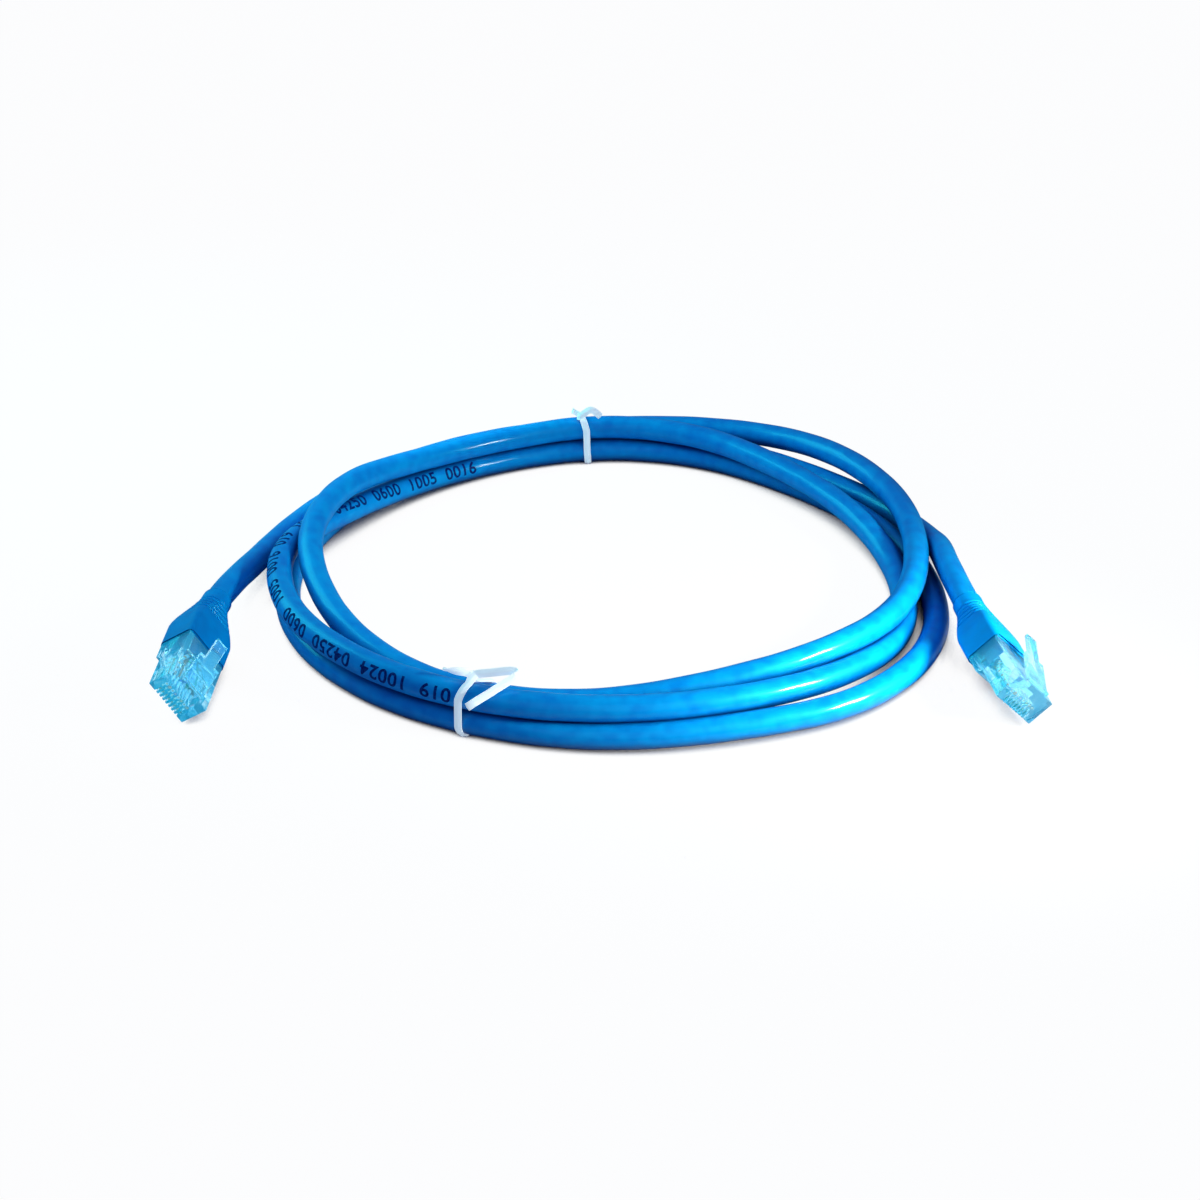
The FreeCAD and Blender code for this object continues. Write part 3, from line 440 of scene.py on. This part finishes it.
# Legend: groups of plain numbers printed in dark ink along the jacket, an even space between them.
# The ink lies on the vinyl, on its outer side in front and rolling over the top on the left.
LEGEND = "019  10024  04250  0600  1005  0016  019  10024  04250  0600  1005  0016"
LEGEND_START = 1.5725
LEGEND_SIZE = 4.5
LEGEND_MIDDLE = 0.35
LETTER_SPACING = 1.08
LONGEST_EDGE = 0.11
INK_SPREAD = 0.085
INK_THICKNESS = 0.02
INK_BLUE = (0.0, 0.010, 0.14)
THIN_INK_BLUE = (0.0, 0.06, 0.30)
LEFT_END_TURN = -0.29
LEGEND_TURNS = (1.57, 1.66, 1.72, 1.78, 1.86, 2.0)
LEGEND_ANGLES = (166.0, 160.0, 130.0, 80.0, 32.0, 18.0)

cable_angle = np.arctan2(cable_line[:, 1] - COIL_CENTRE[1] * MM, cable_line[:, 0] - COIL_CENTRE[0] * MM)
cable_turns = (np.pi / 2 - np.unwrap(cable_angle)) / (2 * np.pi)
cable_turns -= np.round(cable_turns[0] - LEFT_END_TURN)


def ink_mesh(words, size):
    """Flat letters as a mesh in the XY plane, cut into small triangles so that they can bend."""
    text = bpy.data.curves.new("legend_text", "FONT")
    text.body = words
    text.size = size
    text.offset = INK_SPREAD * MM
    text.space_character = LETTER_SPACING
    holder = bpy.data.objects.new("legend_text", text)
    bpy.context.scene.collection.objects.link(holder)
    seen = holder.evaluated_get(bpy.context.evaluated_depsgraph_get())
    mesh = bpy.data.meshes.new_from_object(seen)
    bpy.data.objects.remove(holder)
    form = bmesh.new()
    form.from_mesh(mesh)
    bmesh.ops.remove_doubles(form, verts=form.verts, dist=size * 0.001)
    bmesh.ops.triangulate(form, faces=form.faces)
    for _ in range(3):
        long_edges = [edge for edge in form.edges if edge.calc_length() > size * LONGEST_EDGE]
        bmesh.ops.subdivide_edges(form, edges=long_edges, cuts=1)
        bmesh.ops.triangulate(form, faces=form.faces)
    form.to_mesh(mesh)
    form.free()
    return mesh


legend_mesh = ink_mesh(LEGEND, LEGEND_SIZE * MM)
flat = np.empty(len(legend_mesh.vertices) * 3)
legend_mesh.vertices.foreach_get("co", flat)
flat = flat.reshape(-1, 3)
legend_run = np.interp(LEGEND_START, cable_turns, cable_run) + flat[:, 0]
coil_turn = np.interp(legend_run, cable_run, cable_turns)
legend_turn = np.radians(np.interp(coil_turn, LEGEND_TURNS, LEGEND_ANGLES))
legend_turn += (flat[:, 1] - LEGEND_SIZE * MM * LEGEND_MIDDLE) / (CABLE_DIAMETER / 2 * MM)
legend_points = on_jacket(legend_run, legend_turn, INK_THICKNESS * MM)
legend_mesh.vertices.foreach_set("co", legend_points.ravel())
legend_mesh.shade_smooth()
legend = bpy.data.objects.new("cable_legend", legend_mesh)
bpy.context.scene.collection.objects.link(legend)

ink_material, tree, output = new_material("printed_ink")
place = new_node(tree, "ShaderNodeTexCoord", (-4, 0))
speck = new_node(tree, "ShaderNodeTexNoise", (-3, 0), {
    "Vector": place.outputs["Object"], "Scale": 2200.0, "Detail": 3.0})
thin = new_node(tree, "ShaderNodeMapRange", (-2, 0), {
    "Value": speck.outputs["Fac"], "From Min": 0.35, "From Max": 0.6})
ink_colour = new_node(tree, "ShaderNodeMix", (-1, 0), {
    "Factor": thin.outputs[0], 6: (*THIN_INK_BLUE, 1), 7: (*INK_BLUE, 1)}, data_type="RGBA")
ink = new_node(tree, "ShaderNodeBsdfPrincipled", (0, 0), {
    "Base Color": ink_colour.outputs[2], "Roughness": 0.6, "Specular IOR Level": 0.1})
tree.links.new(ink.outputs[0], output.inputs["Surface"])
legend.data.materials.append(ink_material)
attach(legend, "cord_set")


# Boots: a strain relief of soft blue vinyl behind each plug, moulded in one piece.
# Its box grips the housing's rear, tapers over five ribs and ends in a short round tail on the cable.
PLUG_PITCH = 2.4
PLUG_TURNS = {"left": (-4.0, 58.8), "right": (9.4, 45.3)}
PLUG_WIDTH = 11.68
PLUG_LENGTH = 21.5
HOUSING_TOP = 3.3
HOUSING_FLOOR = -4.7
CABLE_DROP = 0.7
CABLE_START = 12.6
BOOT_START = 15.8
BOOT_BOX_END = 23.0
BOOT_TAPER_END = 36.4
BOOT_END = 39.0
BOOT_HALF_WIDTH = 6.2
BOOT_HALF_HEIGHT = 4.6
BOOT_DROP = 0.65
BOOT_CORNER = 1.3
BOOT_EDGE = 0.2
TAIL_HALF = 3.35
TAIL_CORNER = 3.15
SOCKET_PLAY = 0.1
SOCKET_CORNER = 0.25
RIB_START = 27.6
RIB_PITCH = 1.7
RIB_COUNT = 5
RIB_WIDTH = 0.8
RIB_DEPTH = 0.3
RIB_FULLNESS = 0.2
BOOT_BLUE = (0.0, 0.38, 1.0)
BOOT_DEEP_BLUE = (0.0, 0.30, 0.88)
BOOT_ROUGHNESS = 0.50
BOOT_LUMP_HEIGHT = 0.00002
BOOT_COAT = 0.12


def plug_across(side):
    """The way across the plug, where it lies."""
    heading, roll = PLUG_TURNS[side]
    turn = Matrix.Rotation(math.radians(heading), 3, "Z")
    turn @= Matrix.Rotation(math.radians(PLUG_PITCH), 3, "X")
    turn @= Matrix.Rotation(math.radians(roll), 3, "Y")
    return -np.array(turn.col[0])


def behind_plug(side, rings):
    """Rings given in the plug's frame, X across, Y out of the nose and Z to the latch, laid along the
    cable. A ring's place behind the nose is a run along the cable, and its X is the plug's way across,
    turned square to the cable there, so that a boot bends with its cable."""
    back = -rings[:, :, 1] - CABLE_START
    run = back * MM if side == "left" else cable_end - back * MM
    centre, ahead = (np.stack([np.interp(run, cable_run, field[:, axis]) for axis in range(3)], -1)
                     for field in (cable_line, cable_ahead))
    rearward = ahead if side == "left" else -ahead
    rearward /= np.linalg.norm(rearward, axis=-1)[..., None]
    across = plug_across(side) - rearward * (rearward @ plug_across(side))[..., None]
    across /= np.linalg.norm(across, axis=-1)[..., None]
    upward = np.cross(across, -rearward)
    return centre + (across * rings[:, :, :1] + upward * (rings[:, :, 2:] + CABLE_DROP)) * MM


def rounded_rings(back, half_width, half_height, corner, drop, corner_steps=7):
    """One ring for each place along the plug: four quarter circles, each about a point that lies a
    corner's radius inside a rectangle, joined by straight sides."""
    quarter = np.linspace(0, np.pi / 2, corner_steps)
    angle = (np.arange(4)[:, None] * np.pi / 2 + quarter).ravel()
    middle = np.repeat(np.arange(4) * np.pi / 2 + np.pi / 4, corner_steps)
    back, half_width, half_height, corner, drop = (
        np.broadcast_to(value, np.shape(back))[:, None]
        for value in (back, half_width, half_height, corner, drop))
    across = np.sign(np.cos(middle)) * (half_width - corner) + corner * np.cos(angle)
    upward = np.sign(np.sin(middle)) * (half_height - corner) + corner * np.sin(angle) - drop
    return np.stack([across, np.broadcast_to(-back, across.shape), upward], -1)


def boot_rings():
    """Outside from the tail to the mouth, then the socket and the bore back to the tail, as one closed
    strip. The taper's share is half of the way along it and half of that way eased at both ends; each
    rib is a groove of a clipped wave."""
    edge = BOOT_EDGE * (1 - np.cos(np.linspace(0, np.pi / 2, 5)))
    edge_back = BOOT_EDGE * (1 - np.sin(np.linspace(0, np.pi / 2, 5)))
    taper = np.linspace(BOOT_TAPER_END, BOOT_BOX_END, 161)
    body = np.r_[np.linspace(BOOT_END - BOOT_EDGE, BOOT_TAPER_END + 0.4, 4), taper,
                 np.linspace(BOOT_BOX_END - 0.4, BOOT_START + BOOT_EDGE, 7)]
    share = np.clip((body - BOOT_BOX_END) / (BOOT_TAPER_END - BOOT_BOX_END), 0, 1)
    eased = 0.5 * share + 0.5 * share ** 2 * (3 - 2 * share)
    phase = (body - RIB_START) / RIB_PITCH
    within = (phase > -0.25) & (phase < RIB_COUNT - 0.25)
    wave = np.cos(2 * np.pi * (phase - RIB_WIDTH / RIB_PITCH / 2))
    groove = np.clip(wave + RIB_FULLNESS, 0, 1) * RIB_DEPTH * within
    half_width = BOOT_HALF_WIDTH + (TAIL_HALF - BOOT_HALF_WIDTH) * eased - groove
    half_height = BOOT_HALF_HEIGHT + (TAIL_HALF - BOOT_HALF_HEIGHT) * eased - groove
    corner = BOOT_CORNER + (TAIL_CORNER - BOOT_CORNER) * eased - groove * 0.5
    drop = BOOT_DROP + (CABLE_DROP - BOOT_DROP) * eased
    outside = rounded_rings(body, half_width, half_height, corner, drop)
    tail_edge = rounded_rings(BOOT_END - edge_back, TAIL_HALF - edge[::-1], TAIL_HALF - edge[::-1],
                              TAIL_CORNER - edge[::-1], CABLE_DROP)
    mouth_edge = rounded_rings(BOOT_START + edge_back[::-1], BOOT_HALF_WIDTH - edge,
                               BOOT_HALF_HEIGHT - edge, BOOT_CORNER - edge, BOOT_DROP)
    socket_half = PLUG_WIDTH / 2 + SOCKET_PLAY
    socket_tall = (HOUSING_TOP - HOUSING_FLOOR) / 2 + SOCKET_PLAY
    socket = rounded_rings(np.array([BOOT_START, PLUG_LENGTH + SOCKET_PLAY]), socket_half, socket_tall,
                           SOCKET_CORNER, -(HOUSING_TOP + HOUSING_FLOOR) / 2)
    bore_half = CABLE_DIAMETER / 2 + SOCKET_PLAY
    bore = rounded_rings(np.linspace(PLUG_LENGTH + SOCKET_PLAY, BOOT_END, 12), bore_half, bore_half,
                         bore_half, CABLE_DROP)
    return np.concatenate([tail_edge[::-1], outside, mouth_edge, socket, bore])


boot_material = vinyl_material(
    "boot_vinyl", None, BOOT_BLUE, BOOT_DEEP_BLUE, BOOT_ROUGHNESS, BOOT_LUMP_HEIGHT, BOOT_COAT)
for side in PLUG_TURNS:
    rings = behind_plug(side, boot_rings())
    boot = new_mesh_object(f"{side}_strain_relief", rings.reshape(-1, 3),
                           grid_faces(rings.shape[0], rings.shape[1], ring_rows=True))
    boot.data.set_sharp_from_angle(angle=math.radians(50))
    boot.data.materials.append(boot_material)
    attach(boot, "cord_set")
    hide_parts(f"{side}_boot")
    frame[f"{side}_strain_relief"] = boot


# Plug housings and latches: eight way modular plugs of clear polycarbonate, moulded in one shot.
# Each latch is the sprung tongue on top of its housing, hinged at the nose by a thin root.
HOUSING_EDGE = 0.14
LATCH_EDGE = 0.12
LONG_EDGE = 2.4
PLASTIC_TINT = (0.38, 0.82, 1.0)
PLASTIC_CLEAR = (0.74, 0.95, 1.0)
PLASTIC_INDEX = 1.33
PLASTIC_CLARITY = 0.90
# Painted glow: a faint blue emission that lightens the clear plastic, though it is no lamp.
PLASTIC_GLOW_BLUE = (0.0, 0.62, 1.0)
PLASTIC_GLOW = 0.10


def softened_copy(node, name, edge_radius, long_edge):
    """Copy of a CAD piece: its loose triangles joined, its flat faces made whole and its long edges
    rounded off."""
    form = bmesh.new()
    form.from_mesh(frame["nodes"][node].data)
    bmesh.ops.remove_doubles(form, verts=form.verts, dist=2e-6)
    bmesh.ops.dissolve_limit(form, angle_limit=math.radians(2), verts=form.verts, edges=form.edges)
    sharp = [edge for edge in form.edges
             if edge.is_manifold and edge.calc_length() > long_edge * MM
             and edge.calc_face_angle() > math.radians(30)]
    bmesh.ops.bevel(form, geom=sharp, offset=edge_radius * MM, offset_type="OFFSET", segments=2,
                    profile=0.5, affect="EDGES", clamp_overlap=False)
    mesh = bpy.data.meshes.new(name)
    form.to_mesh(mesh)
    form.free()
    mesh.shade_smooth()
    mesh.set_sharp_from_angle(angle=math.radians(32))
    thing = bpy.data.objects.new(name, mesh)
    bpy.context.scene.collection.objects.link(thing)
    return thing


clear_material, tree, output = new_material("clear_polycarbonate")
place = new_node(tree, "ShaderNodeTexCoord", (-4, 0))
flow = new_node(tree, "ShaderNodeTexNoise", (-3, 0), {
    "Vector": place.outputs["Object"], "Scale": 260.0, "Detail": 2.0, "Distortion": 1.2})
haze = new_node(tree, "ShaderNodeMapRange", (-2, 0), {
    "Value": flow.outputs["Fac"], "From Min": 0.35, "From Max": 0.75, "To Min": 0.04, "To Max": 0.10})
ripple = new_node(tree, "ShaderNodeBump", (-1, 1), {
    "Height": flow.outputs["Fac"], "Strength": 0.10, "Distance": 0.00005})
tint = new_node(tree, "ShaderNodeMix", (-1, 0), {
    "Factor": flow.outputs["Fac"], 6: (*PLASTIC_TINT, 1), 7: (*PLASTIC_CLEAR, 1)}, data_type="RGBA")
clear = new_node(tree, "ShaderNodeBsdfPrincipled", (0, 0), {
    "Base Color": tint.outputs[2], "Roughness": haze.outputs[0], "Normal": ripple.outputs[0]})
clear.inputs["IOR"].default_value = PLASTIC_INDEX
clear.inputs["Transmission Weight"].default_value = PLASTIC_CLARITY
# Painted glow: a faint blue emission that lightens the clear plastic, though it is no lamp.
clear.inputs["Emission Color"].default_value = (*PLASTIC_GLOW_BLUE, 1)
clear.inputs["Emission Strength"].default_value = PLASTIC_GLOW
tree.links.new(clear.outputs[0], output.inputs["Surface"])

for side in PLUG_TURNS:
    housing = softened_copy(f"{side}_plug_housing", f"{side}_housing", HOUSING_EDGE, LONG_EDGE)
    latch = softened_copy(f"{side}_plug_latch", f"{side}_latch_tongue", LATCH_EDGE, LONG_EDGE)
    for piece, body, node in (
            (housing, "cord_set", "plug_housing"), (latch, f"{side}_latch", "plug_latch")):
        piece.data.materials.append(clear_material)
        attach(piece, body)
        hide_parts(f"{side}_{node}")
        frame[piece.name] = piece


# Contacts: eight blades in each plug, stamped from phosphor bronze and flashed with gold.
# Their tines pierce the wires; the edges that meet a socket's springs are polished.
CONTACT_GOLD = (0.92, 0.84, 0.66)
CONTACT_WORN = (0.78, 0.70, 0.54)
COPPER = (0.95, 0.56, 0.38)
COPPER_DULL = (0.80, 0.42, 0.26)
METAL_ROUGHNESS = 0.2


def metal_material(name, colour, worn_colour, roughness):
    """Rolled metal with fine drawn streaks and a faint drift of tone."""
    material, tree, output = new_material(name)
    place = new_node(tree, "ShaderNodeTexCoord", (-4, 0))
    streak = new_node(tree, "ShaderNodeTexNoise", (-3, 0), {
        "Vector": place.outputs["Object"], "Scale": 1800.0, "Detail": 4.0, "Roughness": 0.7})
    tone = new_node(tree, "ShaderNodeMix", (-2, 0), {
        "Factor": streak.outputs["Fac"], 6: (*worn_colour, 1), 7: (*colour, 1)}, data_type="RGBA")
    dull = new_node(tree, "ShaderNodeMapRange", (-2, 1), {
        "Value": streak.outputs["Fac"], "To Min": roughness, "To Max": roughness + 0.15})
    metal = new_node(tree, "ShaderNodeBsdfPrincipled", (0, 0), {
        "Base Color": tone.outputs[2], "Roughness": dull.outputs[0]})
    metal.inputs["Metallic"].default_value = 1.0
    tree.links.new(metal.outputs[0], output.inputs["Surface"])
    return material


def give_material(node, material):
    """Put one material on a CAD piece in place of its own."""
    slots = frame["nodes"][node].data.materials
    slots.clear()
    slots.append(material)


gold_material = metal_material("contact_gold", CONTACT_GOLD, CONTACT_WORN, METAL_ROUGHNESS)
copper_material = metal_material("drawn_copper", COPPER, COPPER_DULL, METAL_ROUGHNESS)
for side in PLUG_TURNS:
    give_material(f"{side}_copper_cores", copper_material)
    for number in range(1, 9):
        give_material(f"{side}_contact_{number}", gold_material)


# Wires: eight insulated conductors fan out of the jacket's twisted pairs and run straight to the nose,
# four in plain colours and four white with a stripe of their partner's colour.
WIRE_COLOURS = {
    "orange": (0.80, 0.20, 0.02), "green": (0.02, 0.30, 0.07),
    "blue": (0.01, 0.12, 0.55), "brown": (0.16, 0.06, 0.025),
}
WIRE_WHITE = (0.80, 0.82, 0.84)
WIRE_ORDER = (
    "white_orange", "orange", "white_green", "blue", "white_blue", "green", "white_brown", "brown")
STRIPE_LENGTH = 2.6
PAIR_BLUE = (0.55, 0.62, 0.70)
PAIR_DEEP_BLUE = (0.20, 0.34, 0.50)


def wire_material(name):
    """Smooth insulation; a white wire has bands of its partner's colour at a steady length."""
    base, _, partner = name.rpartition("_")
    colour = WIRE_COLOURS[partner]
    material, tree, output = new_material(f"wire_{name}")
    place = new_node(tree, "ShaderNodeTexCoord", (-5, 0))
    drift = new_node(tree, "ShaderNodeTexNoise", (-4, 1), {
        "Vector": place.outputs["Object"], "Scale": 700.0, "Detail": 3.0})
    if base:
        wave = new_node(tree, "ShaderNodeTexWave", (-4, 0), {
            "Vector": place.outputs["Object"], "Scale": 1 / (STRIPE_LENGTH * MM) / 2, "Distortion": 0.6},
            bands_direction="Y")
        band = new_node(tree, "ShaderNodeMapRange", (-3, 0), {
            "Value": wave.outputs["Fac"], "From Min": 0.72, "From Max": 0.8})
        painted = new_node(tree, "ShaderNodeMix", (-2, 0), {
            "Factor": band.outputs[0], 6: (*WIRE_WHITE, 1), 7: (*colour, 1)}, data_type="RGBA").outputs[2]
    else:
        deep = tuple(0.8 * value for value in colour)
        painted = new_node(tree, "ShaderNodeMix", (-2, 0), {
            "Factor": drift.outputs["Fac"], 6: (*deep, 1), 7: (*colour, 1)}, data_type="RGBA").outputs[2]
    gloss = new_node(tree, "ShaderNodeMapRange", (-2, 1), {
        "Value": drift.outputs["Fac"], "To Min": 0.25, "To Max": 0.4})
    cover = new_node(tree, "ShaderNodeBsdfPrincipled", (0, 0), {
        "Base Color": painted, "Roughness": gloss.outputs[0]})
    tree.links.new(cover.outputs[0], output.inputs["Surface"])
    return material


for number, name in enumerate(WIRE_ORDER, start=1):
    insulation = wire_material(name)
    for side in PLUG_TURNS:
        give_material(f"{side}_wire_{number}", insulation)

pair_material = vinyl_material(
    "pair_insulation", None, PAIR_BLUE, PAIR_DEEP_BLUE, roughness=0.4, lump_height=0.0001, coat=0.0)
for side in PLUG_TURNS:
    give_material(f"{side}_plug_bundle", pair_material)


# Twist ties: two flat ribbons of pale plastic with a soft steel wire along the middle.
# Each goes once round the strands and is crossed on top, its ends bent back by hand.
RIBBON_WIDTH = 1.75
RIBBON_THICKNESS = 0.34
RIBBON_RIDGE = 0.22
RIBBON_RIDGE_REACH = 0.26
RIBBON_PLAY = 0.15
RIBBON_SIDES = 28
RIBBON_BLUE = (0.78, 0.88, 0.97)
# Painted highlight: the pale colour that the ribbon turns to towards its edges, and in random mottles.
RIBBON_EDGE_HIGHLIGHT = (0.95, 0.99, 1.0)
# Painted glow: a pale blue emission that brightens the ribbons, though they are no lamps.
RIBBON_GLOW_BLUE = (0.85, 0.96, 1.0)
RIBBON_GLOW = 0.38
BAND_DEGREES = (97, 180, 270, 360, 443)
TIES = {
    "front_tie": {
        "angle": -113.5,
        "drift": (0.2, 0.0, 0.6, 1.3, 0.0),
        "near_end": (
            (-33.1, -64.5, 14.2, 0.0, -0.87, 0.5), (-31.9, -64.7, 14.1, 0.0, -0.5, 0.87),
            (-30.4, -64.8, 13.9, 0.0, 0.1, 1.0), (-28.9, -64.7, 13.6, 0.0, 0.4, 0.9),
            (-27.4, -64.3, 13.2, -0.4, 0.4, 0.8), (-26.6, -63.4, 12.9, -0.9, 0.2, 0.4)),
        "far_end": (
            (-26.4, -65.1, 13.2, -0.7, 0.5, 0.5), (-25.4, -65.4, 13.6, -0.2, 0.5, 0.85),
            (-23.6, -65.8, 14.0, 0.0, 0.5, 0.87), (-21.7, -66.2, 14.5, 0.0, 0.5, 0.87),
            (-19.7, -66.6, 15.0, 0.0, 0.5, 0.87), (-18.2, -66.9, 15.3, 0.05, 0.5, 0.87),
            (-17.4, -67.4, 15.1, 0.1, 0.5, 0.87), (-17.6, -68.1, 14.8, -0.1, 0.5, 0.87),
            (-18.5, -68.8, 14.3, -0.4, 0.45, 0.8), (-20.9, -70.5, 13.6, -0.5, 0.43, 0.75),
            (-22.9, -72.2, 13.1, -0.5, 0.43, 0.75), (-25.3, -74.0, 12.5, -0.5, 0.43, 0.75),
            (-27.5, -76.0, 12.0, -0.5, 0.43, 0.75))},
    "rear_tie": {
        "angle": 93.2,
        "drift": (-1.0, 0.3, 0.6, 0.0, -1.0),
        "near_end": (
            (-7.2, 63.4, 14.2, -0.3, 0.6, 0.8), (-6.4, 63.6, 13.6, -0.3, 0.8, 0.5),
            (-5.4, 63.4, 13.1, 0.5, 0.8, 0.2), (-4.8, 62.6, 12.8, 0.9, 0.2, 0.0)),
        "far_end": (
            (-5.6, 62.4, 12.9, 0.6, 0.4, 0.6), (-5.2, 61.6, 13.4, -0.5, 0.35, 0.7),
            (-3.8, 61.5, 14.6, -0.6, 0.35, 0.6), (-2.7, 61.5, 15.4, -0.2, 0.5, 0.85),
            (-1.8, 61.6, 15.2, 0.4, 0.5, 0.75), (-0.8, 61.9, 14.2, 0.6, 0.35, 0.6),
            (0.1, 62.2, 13.2, 0.6, 0.35, 0.6))},
}


def tie_band(angle, drift, count=72):
    """Round the strands from the top, down their inner side, below and up outside, with the way across
    it. For each direction it takes the strand that lies furthest that way and stands off it by the
    cable's radius and the play; it lies on the table and drifts along the strands on its way round."""
    outward = np.array([np.cos(np.radians(angle)), np.sin(np.radians(angle)), 0])
    along = np.array([outward[1], -outward[0], 0])
    line = cable_line / MM - (*COIL_CENTRE, 0)
    beyond = line @ along
    crossing = np.flatnonzero((beyond[:-1] * beyond[1:] <= 0) & (line[:-1] @ outward > 0))
    strands = np.column_stack([line[crossing] @ outward, line[crossing, 2]])
    degrees = np.linspace(BAND_DEGREES[0], BAND_DEGREES[-1], count)
    ways = np.column_stack([np.cos(np.radians(degrees)), np.sin(np.radians(degrees))])
    furthest = strands[np.argmax(strands @ ways.T, axis=0)]
    loop = furthest + (CABLE_DIAMETER / 2 + RIBBON_PLAY + RIBBON_THICKNESS / 2) * ways
    loop[:, 1] = np.maximum(loop[:, 1], RIBBON_THICKNESS / 2)
    slid = np.interp(degrees, BAND_DEGREES, drift)
    points = loop[:, :1] * outward + loop[:, 1:] * (0, 0, 1)
    points += slid[:, None] * along + (*COIL_CENTRE, 0)
    return np.column_stack([points, np.tile(along, (count, 1))])


def smooth_strip(points, per_point):
    """Quadratic blend of the points: each stretch starts and ends halfway between two of them."""
    share = np.linspace(0, 1, per_point, endpoint=False)[:, None, None]
    before, at, after = points[:-2], points[1:-1], points[2:]
    blend = 0.5 * (1 - share) ** 2 * before + (0.5 + share * (1 - share)) * at + 0.5 * share ** 2 * after
    return np.concatenate([points[:1], blend.transpose(1, 0, 2).reshape(-1, points.shape[1]), points[-1:]])


def ribbon_mesh(name, stations):
    """Ribbon along stations of a place and the way across it. Its section is a squared oval: half the
    width by the cosine's power of 0.6, and half the thickness by the sine's root, plus a low bell-shaped
    ridge over the wire."""
    smooth = smooth_strip(stations, 5)
    step = np.r_[True, np.linalg.norm(np.diff(smooth[:, :3], axis=0), axis=1) > 0.01]
    line, across = smooth[step, :3], smooth[step, 3:]
    ahead = np.gradient(line, axis=0)
    ahead /= np.linalg.norm(ahead, axis=1)[:, None]
    across = across - ahead * np.sum(ahead * across, axis=1)[:, None]
    across /= np.linalg.norm(across, axis=1)[:, None]
    face = np.cross(across, ahead)
    around = np.linspace(0, 2 * np.pi, RIBBON_SIDES, endpoint=False)
    wide = np.sign(np.cos(around)) * np.abs(np.cos(around)) ** 0.6 * RIBBON_WIDTH / 2
    ridge = RIBBON_RIDGE * np.exp(-(wide / RIBBON_RIDGE_REACH) ** 2)
    thick = np.sign(np.sin(around)) * (np.abs(np.sin(around)) ** 0.5 * RIBBON_THICKNESS / 2 + ridge)
    points = (line[:, None] + across[:, None] * wide[:, None] + face[:, None] * thick[:, None]) * MM
    faces = grid_faces(len(line), len(around)).tolist()
    faces.append(list(range(len(around))))
    faces.append(list(range(len(line) * len(around) - 1, (len(line) - 1) * len(around) - 1, -1)))
    ribbon = new_mesh_object(name, points.reshape(-1, 3), faces)
    edge = ribbon.data.attributes.new("edge_share", "FLOAT", "POINT")
    edge.data.foreach_set("value", np.tile(np.abs(wide) / (RIBBON_WIDTH / 2), len(line)).astype(np.float32))
    return ribbon


ribbon_material, tree, output = new_material("ribbon_plastic")
place = new_node(tree, "ShaderNodeTexCoord", (-4, 1))
cloud = new_node(tree, "ShaderNodeTexNoise", (-3, 1), {
    "Vector": place.outputs["Object"], "Scale": 420.0, "Detail": 3.0})
# Painted highlight: the colour goes paler towards the ribbon's edges, as if lit there, and in random
# mottles of the cloud noise.
edge = new_node(tree, "ShaderNodeAttribute", (-4, 0), attribute_name="edge_share")
mottle_and_edge_highlight = new_node(tree, "ShaderNodeMath", (-3, 0), {
    0: cloud.outputs["Fac"], 1: 0.35, 2: edge.outputs["Fac"]}, operation="MULTIPLY_ADD")
pale = new_node(tree, "ShaderNodeMapRange", (-2, 0), {
    "Value": mottle_and_edge_highlight.outputs[0], "From Min": 0.78, "From Max": 1.15})
milk = new_node(tree, "ShaderNodeMix", (-1, 0), {
    "Factor": pale.outputs[0], 6: (*RIBBON_BLUE, 1), 7: (*RIBBON_EDGE_HIGHLIGHT, 1)}, data_type="RGBA")
crease = new_node(tree, "ShaderNodeBump", (-1, 1), {
    "Height": cloud.outputs["Fac"], "Strength": 0.5, "Distance": 0.0001})
film = new_node(tree, "ShaderNodeBsdfPrincipled", (0, 0), {
    "Base Color": milk.outputs[2], "Roughness": 0.34, "Normal": crease.outputs[0]})
# Painted glow: a pale blue emission that brightens the ribbons, though they are no lamps.
film.inputs["Emission Color"].default_value = (*RIBBON_GLOW_BLUE, 1)
film.inputs["Emission Strength"].default_value = RIBBON_GLOW
tree.links.new(film.outputs[0], output.inputs["Surface"])

for name, tie in TIES.items():
    stations = np.vstack([tie["near_end"], tie_band(tie["angle"], tie["drift"]), tie["far_end"]])
    ribbon = ribbon_mesh(f"{name}_strip", stations)
    ribbon.data.materials.append(ribbon_material)
    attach(ribbon, "cord_set")
    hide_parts(f"{name}_ribbon", f"{name}_wire")


# Cord: the right plug is on the cable's far end; this gathers every piece that the plug is made of.
right_plug_pieces = [frame["right_housing"], frame["right_latch_tongue"], frame["right_strain_relief"]]
right_plug_pieces += [frame["nodes"][f"right_{part}"] for part in ("plug_bundle", "copper_cores")]
right_plug_pieces += [
    frame["nodes"][f"right_{part}_{number}"] for part in ("contact", "wire") for number in range(1, 9)]
